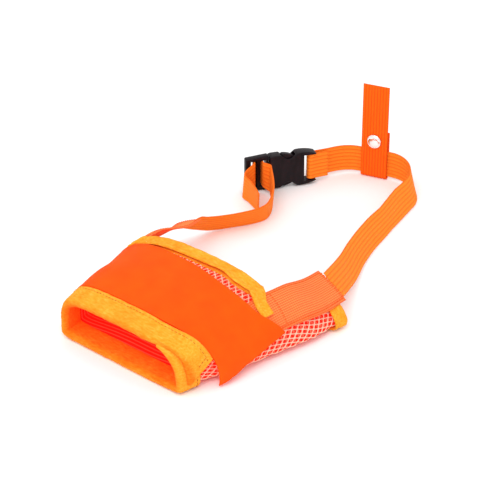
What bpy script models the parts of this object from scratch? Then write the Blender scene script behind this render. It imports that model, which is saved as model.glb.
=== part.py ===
"""Soft muzzle for a dog: a mesh sleeve for the snout and a neck strap that a side-release buckle closes.

Lengths are metres and angles are degrees. Places are written in the sleeve's frame: +X runs to the nose,
y = 0 is the sleeve's mid-plane, +Y is the wearer's left and z = 0 is the table. place() takes BOX_CENTRE
off every point, so that the finished object stands on its origin. An angle round the sleeve starts at its
left fold: 90 is the top, 180 is the right fold and 270 is the middle of the floor.
"""

import math

import bmesh
import bpy
import numpy as np
from mathutils import Matrix, Vector

OBJECT_NAME = "basket_muzzle"
BOX_CENTRE = Vector((0.0066, -0.0071, 0.0))
UP = Vector((0.0, 0.0, 1.0))
GAP = 0.0003

# Sleeve of mesh, measured on its mid-surface
NOSE_X = 0.1570
BRIDGE_X = 0.0820
CHEEK_X_LEFT = 0.0360
CHEEK_X_RIGHT = 0.0500
NOSE_HALF_WIDTH = 0.0487
FLARE = 0.228
FOLD_Z = 0.0057
FOLD_DROP = 0.0029
NOSE_RISE = 0.0250
BRIDGE_RISE = 0.0375
CHEEK_RISE = 0.0305
RISE_POWER = 1.7
SWELL_X = 0.1080
CREASE, CREASE_TURN, CREASE_FRONT_X, CREASE_REAR_X, CREASE_RUN = 0.0040, 14.0, 0.147, 0.040, 0.025
FLOOR_SQUARENESS = 5.0
NOSE_SQUARENESS_LEFT, NOSE_SQUARENESS_RIGHT = 2.8, 5.0
BAND_SQUARENESS_LEFT, BAND_SQUARENESS_RIGHT = 2.15, 2.7
BRIDGE_SQUARENESS, CHEEK_SQUARENESS = 2.7, 1.6
MESH_THICKNESS = 0.0008
SLEEVE_ROWS = 14
EDGE_STEP = 0.0060
TURN_LENGTH = 0.0150

# Rear outline: each cheek reaches back below its notch, and the bridge is cut forward above it
NOTCH_ANGLE_LEFT, NOTCH_ANGLE_RIGHT, NOTCH_SLANT = 40.0, 22.0, 1.5
CHEEK_ROUND, CHEEK_ROUND_TURN = 0.012, 15.0
BRIDGE_ROUND, BRIDGE_ROUND_TURN = 0.010, 14.0

# Fleece binding folded over both ends of the sleeve
FLEECE_THICKNESS = 0.0016
FRONT_BINDING_WIDTH = 0.0130
REAR_BINDING_WIDTH = 0.0085
BINDING_GAP = 0.0007
BINDING_OFFSET = MESH_THICKNESS / 2 + BINDING_GAP + FLEECE_THICKNESS / 2

# Elastic patches, sewn over the cheeks
PATCH_WIDTH, PATCH_THICKNESS = 0.025, 0.0012
PATCH_FRONT_X, PATCH_REAR_X = 0.1040, 0.0300
PATCH_FRONT_ANGLE, PATCH_REAR_ANGLE = 27.0, 35.0
PATCH_FRONT_OFFSET = MESH_THICKNESS / 2 + 3 * GAP + PATCH_THICKNESS / 2
PATCH_REAR_OFFSET = BINDING_OFFSET + FLEECE_THICKNESS / 2 + 2 * GAP + PATCH_THICKNESS / 2
PATCH_RISE_X, PATCH_RISE_LENGTH = 0.0780, 0.0140

# Ends of the bridge binding, laid flat over the patches
BRIDGE_START_ANGLE_LEFT, BRIDGE_START_ANGLE_RIGHT, TAIL_LAP_ANGLE = 53.0, 48.0, 6.0
TAIL_FOOT_ANGLE_LEFT, TAIL_FOOT_ANGLE_RIGHT = 30.0, 40.0
TAIL_TOP_OFFSET = BINDING_OFFSET + 0.0004
TAIL_OFFSET = PATCH_FRONT_OFFSET + PATCH_THICKNESS / 2 + 2 * GAP + FLEECE_THICKNESS / 2
TAIL_TOP_X, TAIL_FOOT_X, TAIL_FRONT_X = 0.0808, 0.0850, 0.0893

# Cover band over the snout
BAND_THICKNESS = 0.0008
BAND_FRONT_X_LEFT, BAND_FRONT_X_RIGHT, BAND_REAR_X = 0.1340, 0.1425, 0.0920
BAND_FRONT_OFFSET = 0.0020
BAND_REAR_OFFSET = PATCH_FRONT_OFFSET + PATCH_THICKNESS / 2 + 2 * GAP + BAND_THICKNESS / 2
BAND_LIFT_X = 0.120
BAND_LEFT_ANGLE_FRONT, BAND_LEFT_ANGLE_REAR, BAND_RIGHT_ANGLE = -3.0, 11.0, 172.0
BAND_SLANT_ANGLE = 80.0

# Webbing
WEB_WIDTH, WEB_THICKNESS = 0.020, 0.0012
WEB_STEP = 0.0045

# Side-release buckle, standing on its edge. s runs along it from the female end to the male end
BUCKLE_CENTRE = Vector((-0.0840, -0.0770, 0.0140))
BUCKLE_AXIS = Vector((0.848, -0.530, 0.0)).normalized()
BUCKLE_FACE = UP.cross(BUCKLE_AXIS)
BUCKLE_DIRECTIONS = Matrix((BUCKLE_AXIS, BUCKLE_FACE, UP)).transposed().to_4x4()
BUCKLE_WIDTH, BUCKLE_THICKNESS, BUCKLE_WAIST = 0.0274, 0.0090, 0.0038
BUCKLE_WALL, BUCKLE_FACE_WALL = 0.0014, 0.0013
MOUTH_S, LEDGE_S, WINDOW_S, HOUSING_S, EAR_S = 0.0090, 0.0, -0.0110, -0.0202, -0.0262
EAR_WIDTH = 0.0026
BAR_S, BAR_RADIUS = -0.0245, 0.0015
FRAME_S, FRAME_END_S, FRAME_THICKNESS = 0.0096, 0.0268, 0.0050
SLOT_LENGTH, SLOT_HEIGHT = 0.0044, 0.0220
INNER_SLOT_S, OUTER_SLOT_S = 0.0138, 0.0208
MIDDLE_BAR_THICKNESS = 0.0030
TONGUE_S, TONGUE_WIDTH, TONGUE_THICKNESS = -0.0150, 0.0046, 0.0030
PRONG_ROOT_S, PRONG_TIP_S = 0.0090, -0.0105
PRONG_INSIDE, PRONG_OUTSIDE, PRONG_HOOK, PRONG_THICKNESS = 0.0078, 0.0116, 0.0140, 0.0044
PRONG_PIVOT_S, PRONG_PIVOT = 0.0088, 0.0097

# Tab looped round the strap, closed by a press stud
TAB_CENTRE = Vector((-0.1410, -0.0350, 0.0))
TAB_ALONG = Vector((-0.28, 0.96, 0.0)).normalized()
TAB_FACE = TAB_ALONG.cross(UP)
TAB_HEIGHT, TAB_BACK_HEIGHT = 0.0738, 0.0365
TAB_HALF_GAP = 0.0020
TAB_WRAP_TOP, TAB_BACK_FOOT = 0.0036, 0.0048
TAB_HINGE_Z = 0.0044
SNAP_Z, SNAP_HOLE = 0.0300, 0.0018
SNAP_CAP_RADIUS, SNAP_CAP_HEIGHT = 0.00525, 0.0021
SNAP_SOCKET_RADIUS, SNAP_SOCKET_BORE, SNAP_SOCKET_HEIGHT = 0.0040, 0.0022, 0.0016
SNAP_STUD_RADIUS, SNAP_NUB_RADIUS, SNAP_NUB_HEIGHT = 0.0032, 0.0018, 0.0010
SNAP_PLATE, SNAP_SHANK_RADIUS = 0.0004, 0.0014
SNAP_POST_RADIUS, SNAP_POST_HEIGHT = 0.0036, 0.0009
SNAP_STEPS = 24

# Straps, as (lower edge, upper edge) pairs along their routes
ROOT_LEFT_ROUTE = (
    ((0.0292, 0.0697, 0.0165), (0.0292, 0.0540, 0.0288)),
    ((0.0110, 0.0615, 0.0115), (0.0105, 0.0470, 0.0253)),
    ((-0.0080, 0.0520, 0.0060), (-0.0070, 0.0395, 0.0215)),
)
STRAP_LEFT_ROUTE = ROOT_LEFT_ROUTE[1:] + (
    ((-0.0340, 0.0390, 0.0024), (-0.0285, 0.0303, 0.0193)),
    ((-0.0560, 0.0308, 0.0009), (-0.0563, 0.0214, 0.0183)),
    ((-0.0855, 0.0231, 0.0008), (-0.0787, 0.0170, 0.0182)),
    ((-0.1110, 0.0176, 0.0008), (-0.1070, 0.0083, 0.0182)),
    ((-0.1253, 0.0136, 0.0008), (-0.1225, 0.0060, 0.0185)),
    ((-0.1345, 0.0079, 0.0009), (-0.1310, 0.0035, 0.0197)),
    ((-0.1420, -0.0010, 0.0012), (-0.1398, -0.0035, 0.0209)),
    ((-0.1455, -0.0110, 0.0018), (-0.1446, -0.0120, 0.0217)),
)
TAB_STRAIGHT = 0.0150
STRAP_FOOT_Z = 0.0022
STRAP_LEFT_ROUTE_END = (
    ((-0.1293, -0.0562, 0.0028), (-0.1293, -0.0566, 0.0228)),
    ((-0.1165, -0.0612, 0.0036), (-0.1165, -0.0615, 0.0236)),
)
FOLD_RADIUS = BAR_RADIUS + GAP + WEB_THICKNESS / 2
FOLD_LAYER = 0.0018
FOLD_END_S = -0.0375
ROOT_RIGHT_ROUTE = (
    ((0.0292, -0.0695, 0.0165), (0.0292, -0.0538, 0.0288)),
    ((0.0150, -0.0712, 0.0085), (0.0185, -0.0592, 0.0240)),
    ((-0.0010, -0.0700, 0.0015), (0.0068, -0.0622, 0.0180)),
)
STRAP_RIGHT_ROUTE = ROOT_RIGHT_ROUTE[1:] + (
    ((-0.0165, -0.0617, 0.0008), (-0.0080, -0.0543, 0.0168)),
    ((-0.0325, -0.0535, 0.0008), (-0.0245, -0.0465, 0.0173)),
    ((-0.0420, -0.0530, 0.0008), (-0.0350, -0.0465, 0.0179)),
)
ADJUSTER_START = STRAP_RIGHT_ROUTE[-2:] + (
    ((-0.0535, -0.0590, 0.0020), (-0.0495, -0.0540, 0.0212)),
    ((-0.0682, -0.0729, 0.0030), (-0.0729, -0.0766, 0.0225)),
)
ADJUSTER_TAIL = (
    ((-0.0537, -0.0861, 0.0024), (-0.0530, -0.0840, 0.0186)),
    ((-0.0500, -0.0775, 0.0020), (-0.0475, -0.0735, 0.0186)),
    ((-0.0460, -0.0688, 0.0022), (-0.0425, -0.0645, 0.0182)),
    ((-0.0420, -0.0615, 0.0024), (-0.0375, -0.0570, 0.0180)),
)


def clear_scene():
    for thing in list(bpy.data.objects):
        bpy.data.objects.remove(thing)


def make_collection(name):
    collection = bpy.data.collections.new(name)
    bpy.context.scene.collection.children.link(collection)
    return collection


def material(name, colour, roughness, metallic=0.0):
    made = bpy.data.materials.new(name)
    made.use_nodes = True
    shader = made.node_tree.nodes["Principled BSDF"]
    shader.inputs["Base Color"].default_value = (*colour, 1.0)
    shader.inputs["Roughness"].default_value = roughness
    shader.inputs["Metallic"].default_value = metallic
    return made


def add_object(name, mesh, surface, location):
    mesh.materials.append(surface)
    thing = bpy.data.objects.new(name, mesh)
    thing.location = location
    parts.objects.link(thing)
    return thing


def place(name, shape, surface, pivot=None):
    """An object made from a bmesh that is given in the sleeve's frame, with its origin on pivot."""
    origin = pivot - BOX_CENTRE if pivot else Vector((0.0, 0.0, 0.0))
    shape.transform(Matrix.Translation(-BOX_CENTRE - origin))
    mesh = bpy.data.meshes.new(name)
    shape.to_mesh(mesh)
    shape.free()
    return add_object(name, mesh, surface, origin)


def surface_of(points, faces):
    """An open surface as a bmesh, from its points and the points of each face."""
    shape = bmesh.new()
    verts = [shape.verts.new(point) for point in points]
    for face in faces:
        shape.faces.new([verts[index] for index in face])
    return shape


def thicken(thing, thickness, even=True):
    shell = thing.modifiers.new("thickness", "SOLIDIFY")
    shell.thickness = thickness
    shell.offset = 0.0
    shell.use_even_offset = even


def grid_faces(rows, columns, closed=False):
    faces = []
    for row in range(rows - 1):
        for column in range(columns if closed else columns - 1):
            after = (column + 1) % columns
            start = row * columns
            faces.append((start + column, start + after, start + columns + after, start + columns + column))
    return faces


def sheet(name, points, rows, columns, thickness, surface, closed=False, pivot=None, even=True):
    """A grid of mid-surface points, thickened evenly to both sides."""
    thing = place(name, surface_of(points, grid_faces(rows, columns, closed)), surface, pivot)
    thing.data.shade_smooth()
    thicken(thing, thickness, even)
    return thing


def smoothstep(value):
    value = min(max(value, 0.0), 1.0)
    return value * value * (3.0 - 2.0 * value)


def mix(start, end, share):
    return start + (end - start) * share


# Sleeve


def rise_at(x):
    """Height of the sleeve's top above its folds."""
    if x >= BRIDGE_X:
        share = (NOSE_X - x) / (NOSE_X - BRIDGE_X)
        return NOSE_RISE + (BRIDGE_RISE - NOSE_RISE) * (1.0 - max(1.0 - share, 0.0) ** RISE_POWER)
    return mix(BRIDGE_RISE, CHEEK_RISE, smoothstep((BRIDGE_X - x) / (BRIDGE_X - CHEEK_X_LEFT)))


def squareness_at(x, is_left):
    nose = NOSE_SQUARENESS_LEFT if is_left else NOSE_SQUARENESS_RIGHT
    band = BAND_SQUARENESS_LEFT if is_left else BAND_SQUARENESS_RIGHT
    if x >= SWELL_X:
        return mix(nose, band, smoothstep((NOSE_X - x) / (NOSE_X - SWELL_X)))
    if x >= BRIDGE_X:
        return mix(band, BRIDGE_SQUARENESS, smoothstep((SWELL_X - x) / (SWELL_X - BRIDGE_X)))
    return mix(BRIDGE_SQUARENESS, CHEEK_SQUARENESS, smoothstep((BRIDGE_X - x) / (BRIDGE_X - CHEEK_X_LEFT)))


def crease_at(x, angle):
    """How far the left fold is pressed outwards into a crease."""
    turn = (angle + 180.0) % 360.0 - 180.0
    along = smoothstep((CREASE_FRONT_X - x) / CREASE_RUN) * smoothstep((x - CREASE_REAR_X) / CREASE_RUN)
    return CREASE * along * math.exp(-((turn / CREASE_TURN) ** 2))


def sleeve_point(x, angle):
    """A point of the sleeve's mid-surface."""
    across, up = math.cos(math.radians(angle)), math.sin(math.radians(angle))
    power = squareness_at(x, across >= 0.0) if up >= 0.0 else FLOOR_SQUARENESS
    height = rise_at(x) if up >= 0.0 else FOLD_DROP
    half_width = NOSE_HALF_WIDTH + FLARE * (NOSE_X - x)
    y = half_width * math.copysign(abs(across) ** (2.0 / power), across) + crease_at(x, angle)
    z = FOLD_Z + height * math.copysign(abs(up) ** (2.0 / power), up)
    return Vector((x, y, z))


def sleeve_normal(x, angle):
    step_x, step_angle = 0.001, 1.0
    along = sleeve_point(x + step_x, angle) - sleeve_point(x - step_x, angle)
    around = sleeve_point(x, angle + step_angle) - sleeve_point(x, angle - step_angle)
    return around.cross(along).normalized()


def rear_x(angle):
    """Where the sleeve ends at each angle: far back at the cheeks and the floor, further forward on top."""
    angle %= 360.0
    is_left = math.cos(math.radians(angle)) >= 0.0
    cheek = CHEEK_X_LEFT if is_left else CHEEK_X_RIGHT
    if math.sin(math.radians(angle)) < 0.0:
        share = (1.0 + math.cos(math.radians(angle))) / 2.0
        return mix(CHEEK_X_RIGHT, CHEEK_X_LEFT, smoothstep(share))
    above = angle - NOTCH_ANGLE_LEFT if is_left else 180.0 - angle - NOTCH_ANGLE_RIGHT
    if above <= 0.0:
        share = max(1.0 + above / CHEEK_ROUND_TURN, 0.0)
        return cheek + CHEEK_ROUND * (1.0 - math.sqrt(1.0 - share * share))
    if above <= NOTCH_SLANT:
        return mix(cheek + CHEEK_ROUND, BRIDGE_X - BRIDGE_ROUND, above / NOTCH_SLANT)
    share = max(1.0 - (above - NOTCH_SLANT) / BRIDGE_ROUND_TURN, 0.0)
    return BRIDGE_X - BRIDGE_ROUND * (1.0 - math.sqrt(1.0 - share * share))


def column_angles():
    """Angles round the sleeve at even steps along its rear edge, closer together where the edge turns."""
    fine = np.linspace(0.0, 360.0, 3601)
    outline = np.array([sleeve_point(rear_x(angle), angle) for angle in fine])
    steps = np.diff(outline, axis=0)
    lengths = np.linalg.norm(steps, axis=1)
    headings = steps / lengths[:, None]
    turns = np.linalg.norm(np.diff(headings, axis=0, append=headings[:1]), axis=1)
    run = np.concatenate([[0.0], np.cumsum(lengths + TURN_LENGTH * turns)])
    count = round(run[-1] / EDGE_STEP)
    return [float(np.interp(run[-1] * step / count, run, fine)) for step in range(count)]


def onto_sleeve(point, angle):
    """The angle at which the sleeve's section passes nearest to point, searched from a first angle."""
    for _ in range(6):
        around = sleeve_point(point.x, angle + 0.5) - sleeve_point(point.x, angle - 0.5)
        miss = point - sleeve_point(point.x, angle)
        angle += min(max(miss.dot(around) / around.length_squared, -4.0), 4.0)
    return angle


def make_sleeve(surface):
    angles = column_angles()
    points = [
        sleeve_point(mix(NOSE_X, rear_x(angle), row / SLEEVE_ROWS), angle)
        for row in range(SLEEVE_ROWS + 1)
        for angle in angles
    ]
    return sheet("mesh_sleeve", points, SLEEVE_ROWS + 1, len(angles), MESH_THICKNESS, surface, closed=True)


def make_binding(name, angles, end_x, inward, width, closed, surface):
    """A fleece strip folded over an end of the sleeve: inward is 1 where the cloth lies towards the nose."""
    fold = [math.radians(90.0 + 30.0 * step) for step in range(7)]
    section = [(width, BINDING_OFFSET), (width / 2, BINDING_OFFSET)]
    section += [(BINDING_OFFSET * math.cos(turn), BINDING_OFFSET * math.sin(turn)) for turn in fold]
    section += [(width / 2, -BINDING_OFFSET), (width, -BINDING_OFFSET)]
    points = []
    for depth, offset in section:
        for angle in angles:
            edge = sleeve_point(end_x(angle), angle)
            tangent = sleeve_point(end_x(angle + 0.5), angle + 0.5) - sleeve_point(end_x(angle - 0.5), angle - 0.5)
            normal = sleeve_normal(end_x(angle), angle)
            into = normal.cross(tangent).normalized() * inward
            base = edge + into * depth
            if depth > BINDING_OFFSET:
                nearest = onto_sleeve(base, angle)
                base, normal = sleeve_point(base.x, nearest), sleeve_normal(base.x, nearest)
            points.append(base + normal * offset)
    return sheet(name, points, len(section), len(angles), FLEECE_THICKNESS, surface, closed=closed, even=False)


def make_bridge_binding(surface):
    last = 180.0 - BRIDGE_START_ANGLE_RIGHT
    angles = [angle for angle in column_angles() if BRIDGE_START_ANGLE_LEFT < angle < last]
    binding = make_binding("bridge_binding", angles, rear_x, 1.0, REAR_BINDING_WIDTH, False, surface)
    rows, columns = 12, 4
    sides = (
        ("left", BRIDGE_START_ANGLE_LEFT, TAIL_FOOT_ANGLE_LEFT),
        ("right", BRIDGE_START_ANGLE_RIGHT, TAIL_FOOT_ANGLE_RIGHT),
    )
    for side, start, foot in sides:
        points = []
        for row in range(rows):
            angle = mix(start + TAIL_LAP_ANGLE, foot, row / (rows - 1))
            rear = mix(TAIL_TOP_X, TAIL_FOOT_X, row / (rows - 1))
            lift = smoothstep((start + TAIL_LAP_ANGLE - angle) / TAIL_LAP_ANGLE)
            angle = angle if side == "left" else 180.0 - angle
            for column in range(columns):
                x = mix(rear, TAIL_FRONT_X, column / (columns - 1))
                offset = mix(TAIL_TOP_OFFSET, TAIL_OFFSET, lift)
                points.append(sleeve_point(x, angle) + sleeve_normal(x, angle) * offset)
        tail = sheet(f"binding_tail_{side}", points, rows, columns, FLEECE_THICKNESS, surface)
        combine(binding, tail, "UNION")


def make_rear_binding(surface):
    first, last = 180.0 - NOTCH_ANGLE_RIGHT, 360.0 + NOTCH_ANGLE_LEFT
    onward = sorted(angle if angle > first else angle + 360.0 for angle in column_angles())
    angles = [angle for angle in onward if angle < last]
    make_binding("rear_binding", angles, rear_x, 1.0, REAR_BINDING_WIDTH, False, surface)


def angle_at_arc(x, angle, arc):
    """The angle whose point lies arc metres up the section from the one at angle."""
    step = 0.25 if arc > 0.0 else -0.25
    here, run = sleeve_point(x, angle), 0.0
    while run < abs(arc):
        angle += step
        there = sleeve_point(x, angle)
        run += (there - here).length
        here = there
    return angle


def make_patch(name, mirrored, surface):
    rows, columns = 24, 7
    points = []
    for row in range(rows):
        share = row / (rows - 1)
        x = mix(PATCH_FRONT_X, PATCH_REAR_X, share)
        middle = mix(PATCH_FRONT_ANGLE, PATCH_REAR_ANGLE, share)
        lift = smoothstep((PATCH_RISE_X - x) / PATCH_RISE_LENGTH)
        offset = mix(PATCH_FRONT_OFFSET, PATCH_REAR_OFFSET, lift)
        for column in range(columns):
            arc = PATCH_WIDTH * (column / (columns - 1) - 0.5)
            angle = angle_at_arc(x, middle, arc)
            angle = 180.0 - angle if mirrored else angle
            points.append(sleeve_point(x, angle) + sleeve_normal(x, angle) * offset)
    return sheet(name, points, rows, columns, PATCH_THICKNESS, surface)


def make_band(surface):
    rows, columns = 12, 30
    points = []
    for row in range(rows):
        share = row / (rows - 1)
        start = mix(BAND_LEFT_ANGLE_FRONT, BAND_LEFT_ANGLE_REAR, share)
        for column in range(columns):
            angle = mix(start, BAND_RIGHT_ANGLE, column / (columns - 1))
            front_x = mix(BAND_FRONT_X_LEFT, BAND_FRONT_X_RIGHT, smoothstep(angle / BAND_SLANT_ANGLE))
            x = mix(front_x, BAND_REAR_X, share)
            lift = smoothstep((front_x - x) / (front_x - BAND_LIFT_X))
            offset = mix(BAND_FRONT_OFFSET, BAND_REAR_OFFSET, lift)
            points.append(sleeve_point(x, angle) + sleeve_normal(x, angle) * offset)
    return sheet("cover_band", points, rows, columns, BAND_THICKNESS, surface)


# Webbing


def smooth_route(route, skipped=0):
    """Middles and width directions at even steps along a smooth curve through a route's edge pairs.

    The first skipped stretches only steer the curve, and are left out.
    """
    pairs = [(Vector(low), Vector(high)) for low, high in route]
    middles = [(low + high) / 2 for low, high in pairs]
    widths = [(high - low).normalized() for low, high in pairs]
    run = [0.0]
    for before, after in zip(middles, middles[1:]):
        run.append(run[-1] + (after - before).length)
    slopes = []
    for index in range(len(run)):
        left, right = max(index - 1, 0), min(index + 1, len(run) - 1)
        slopes.append((middles[right] - middles[left]) / (run[right] - run[left]))
    begin = run[skipped] + (GAP if skipped else 0.0)
    steps = max(round((run[-1] - begin) / WEB_STEP), 3)
    line = []
    for step in range(steps + 1):
        at = mix(begin, run[-1], step / steps)
        index = min(max(sum(value <= at for value in run) - 1, 0), len(run) - 2)
        length = run[index + 1] - run[index]
        share = (at - run[index]) / length
        square, cube = share * share, share**3
        middle = (
            middles[index] * (2 * cube - 3 * square + 1)
            + slopes[index] * (length * (cube - 2 * square + share))
            + middles[index + 1] * (3 * square - 2 * cube)
            + slopes[index + 1] * (length * (cube - square))
        )
        line.append((middle, widths[index].lerp(widths[index + 1], share).normalized()))
    return line


def webbing(name, line, surface, pivot=None):
    """A flat strap along (middle, width direction) pairs."""
    points = []
    for middle, width in line:
        points += [middle - width * (WEB_WIDTH / 2), middle, middle + width * (WEB_WIDTH / 2)]
    return sheet(name, points, len(line), 3, WEB_THICKNESS, surface, pivot=pivot)


def buckle_point(s, face=0.0, up=0.0):
    return BUCKLE_CENTRE + BUCKLE_AXIS * s + BUCKLE_FACE * face + UP * up


def arc_points(centre_s, radius, first, last, steps):
    """Buckle points on an arc round (s, face) = (centre_s, 0)."""
    turns = [math.radians(mix(first, last, step / steps)) for step in range(steps + 1)]
    return [
        (buckle_point(centre_s + radius * math.cos(turn), radius * math.sin(turn)), UP) for turn in turns
    ]


def make_straps(surface):
    webbing("strap_root_left", smooth_route(ROOT_LEFT_ROUTE), surface)
    webbing("strap_root_right", smooth_route(ROOT_RIGHT_ROUTE), surface)
    near, far = TAB_CENTRE + TAB_ALONG * TAB_STRAIGHT, TAB_CENTRE - TAB_ALONG * TAB_STRAIGHT
    foot, head = UP * STRAP_FOOT_Z, UP * (STRAP_FOOT_Z + WEB_WIDTH)
    straight = tuple((middle + foot, middle + head) for middle in (near, TAB_CENTRE, far))
    line = smooth_route(STRAP_LEFT_ROUTE + straight + STRAP_LEFT_ROUTE_END, 1)
    behind = line[-1][0]
    line += arc_points(BAR_S, FOLD_RADIUS, -90.0, 90.0, 8)
    end = buckle_point(FOLD_END_S, 0.0, -0.0004)
    line += [(buckle_point(BAR_S - 0.0030, 0.0016), UP), (behind.lerp(end, 0.5) + BUCKLE_FACE * FOLD_LAYER, UP)]
    webbing("neck_strap_left", line, surface)
    webbing("neck_strap_right", smooth_route(STRAP_RIGHT_ROUTE, 1), surface)
    line = smooth_route(ADJUSTER_START, 1)
    behind_bar = -MIDDLE_BAR_THICKNESS / 2 - GAP - WEB_THICKNESS / 2
    line += [(buckle_point(INNER_SLOT_S + 0.0004, face), UP) for face in (0.0050, 0.0020, -0.0008)]
    line += [(buckle_point(s, behind_bar), UP) for s in (INNER_SLOT_S + 0.0016, OUTER_SLOT_S - 0.0016)]
    line += [(buckle_point(OUTER_SLOT_S - 0.0004, face), UP) for face in (-0.0008, 0.0020, 0.0050)]
    line += smooth_route(ADJUSTER_TAIL)
    webbing("adjuster_loop", line, surface)


# Buckle


def block(name, s_range, face_range, up_range, surface, pivot=None):
    """A box in the buckle's own directions."""
    ranges = (s_range, face_range, up_range)
    sizes = [abs(last - first) for first, last in ranges]
    middle = buckle_point(*[(first + last) / 2 for first, last in ranges])
    shape = bmesh.new()
    frame = Matrix.Translation(middle) @ BUCKLE_DIRECTIONS @ Matrix.Diagonal((*sizes, 1.0))
    bmesh.ops.create_cube(shape, size=1.0, matrix=frame)
    return place(name, shape, surface, pivot)


def slab(name, outline, thickness, surface, pivot=None):
    """A flat plate cut to an outline of (s, up) points."""
    points = [buckle_point(s, 0.0, up) for s, up in outline]
    thing = place(name, surface_of(points, [range(len(points))]), surface, pivot)
    thicken(thing, thickness)
    return thing


def both(half):
    return (-half, half)


def combine(thing, other, operation):
    """Boolean another object into thing. The other one becomes a cutter."""
    parts.objects.unlink(other)
    cutters.objects.link(other)
    other.hide_render = True
    other.display_type = "WIRE"
    step = thing.modifiers.new(other.name, "BOOLEAN")
    step.operation = operation
    step.object = other
    step.solver = "EXACT"


def round_edges(thing, width):
    bevel = thing.modifiers.new("rounded edges", "BEVEL")
    bevel.width = width
    bevel.segments = 2
    bevel.limit_method = "ANGLE"


def make_female(surface):
    half = BUCKLE_WIDTH / 2
    waist, cavity_half = half - BUCKLE_WAIST, half - BUCKLE_WALL
    outline = [(MOUTH_S, half), (LEDGE_S + 0.0010, half), (mix(LEDGE_S, WINDOW_S, 0.5), waist)]
    outline += [(WINDOW_S - 0.0010, half), (HOUSING_S, half), (EAR_S, half - 0.0010)]
    outline += [(s, -up) for s, up in reversed(outline)]
    female = slab("buckle_female", outline, BUCKLE_THICKNESS, surface)
    round_edges(female, 0.0008)
    cavity_face = BUCKLE_THICKNESS / 2 - BUCKLE_FACE_WALL
    reach = (WINDOW_S - 0.0052, MOUTH_S + 0.002)
    cavity = block("female_cavity", reach, both(cavity_face), both(cavity_half), surface)
    reach = (WINDOW_S, LEDGE_S)
    windows = block("female_windows", reach, both(cavity_face - 0.0002), both(half + 0.002), surface)
    reach = (BAR_S - 0.01, HOUSING_S)
    slot = block("female_slot", reach, both(BUCKLE_THICKNESS), both(half - EAR_WIDTH), surface)
    for cutter in (cavity, windows, slot):
        combine(female, cutter, "DIFFERENCE")
    shape = bmesh.new()
    bmesh.ops.create_cone(
        shape, cap_ends=True, segments=12, radius1=BAR_RADIUS, radius2=BAR_RADIUS, depth=BUCKLE_WIDTH - EAR_WIDTH,
        matrix=Matrix.Translation(buckle_point(BAR_S)) @ BUCKLE_DIRECTIONS,
    )
    bar = place("female_bar", shape, surface)
    combine(female, bar, "UNION")
    return female


def make_male(surface):
    half = BUCKLE_WIDTH / 2
    outline = [(FRAME_END_S, half - 0.0012), (FRAME_S, half), (FRAME_S, -half), (FRAME_END_S, -half + 0.0012)]
    pivot = buckle_point(MOUTH_S)
    male = slab("buckle_male", outline, FRAME_THICKNESS, surface, pivot)
    round_edges(male, 0.0007)
    for index, s in enumerate((INNER_SLOT_S, OUTER_SLOT_S)):
        reach = (s - SLOT_LENGTH / 2, s + SLOT_LENGTH / 2)
        combine(male, block(f"male_slot_{index}", reach, both(0.01), both(SLOT_HEIGHT / 2), surface), "DIFFERENCE")
    for index, side in enumerate((-1, 1)):
        near, far = side * MIDDLE_BAR_THICKNESS / 2, side * 0.01
        reach = (INNER_SLOT_S + 0.001, OUTER_SLOT_S - 0.001)
        thinner = block(f"male_bar_{index}", reach, (near, far), both(SLOT_HEIGHT / 2 - 0.0002), surface)
        combine(male, thinner, "DIFFERENCE")
    tongue = block(
        "male_tongue", (TONGUE_S, FRAME_S + 0.001), both(TONGUE_THICKNESS / 2), both(TONGUE_WIDTH / 2), surface
    )
    combine(male, tongue, "UNION")
    return male


def make_prong(name, side, surface):
    """A springy arm whose hook rests behind the end of the housing's side wall."""
    outline = [
        (PRONG_ROOT_S, PRONG_INSIDE),
        (PRONG_ROOT_S, PRONG_OUTSIDE),
        (LEDGE_S - GAP, PRONG_OUTSIDE),
        (LEDGE_S - GAP, PRONG_HOOK),
        (mix(LEDGE_S, WINDOW_S, 0.45), PRONG_HOOK - 0.0005),
        (PRONG_TIP_S, PRONG_OUTSIDE - 0.0012),
        (PRONG_TIP_S, PRONG_INSIDE + 0.0006),
        (LEDGE_S, PRONG_INSIDE),
    ]
    pivot = buckle_point(PRONG_PIVOT_S, 0.0, side * PRONG_PIVOT)
    outline = [(s, side * up) for s, up in outline]
    return slab(name, outline, PRONG_THICKNESS, surface, pivot)


# Tab and press stud


def tab_point(face, z):
    return TAB_CENTRE + TAB_FACE * face + UP * z


def strip(name, line, surface, pivot=None):
    """The tab's webbing along (face, z) points, as wide as the strap."""
    points = []
    for face, z in line:
        for share in (-0.5, 0.0, 0.5):
            points.append(tab_point(face, z) + TAB_ALONG * (WEB_WIDTH * share))
    return sheet(name, points, len(line), 3, WEB_THICKNESS, surface, pivot=pivot)


def hold(thing, pivot):
    """Parent a piece to an empty without moving it."""
    thing.parent = pivot
    thing.matrix_parent_inverse = Matrix.Translation(-pivot.location)


def turned(name, profile, surface):
    """A body turned about the press stud's axis, from (radius, distance along it) points, top to bottom."""
    closed = profile[0] == profile[-1]
    points = profile[:-1] if closed else profile
    edges = [(index, (index + 1) % len(points)) for index in range(len(profile) - 1)]
    mesh = bpy.data.meshes.new(name)
    mesh.from_pydata([(radius, 0.0, along) for radius, along in points], edges, [])
    thing = add_object(name, mesh, surface, tab_point(0.0, SNAP_Z) - BOX_CENTRE)
    thing.rotation_euler = UP.rotation_difference(TAB_FACE).to_euler()
    turning = thing.modifiers.new("turning", "SCREW")
    turning.steps = turning.render_steps = SNAP_STEPS
    turning.use_merge_vertices = True
    turning.merge_threshold = 0.00001
    return thing


def punch(thing, name, surface):
    """A hole for the press stud's shank."""
    reach = 2 * TAB_HALF_GAP
    bore = turned(name, [(0.0, reach), (SNAP_HOLE, reach), (SNAP_HOLE, -reach), (0.0, -reach)], surface)
    combine(thing, bore, "DIFFERENCE")


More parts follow.
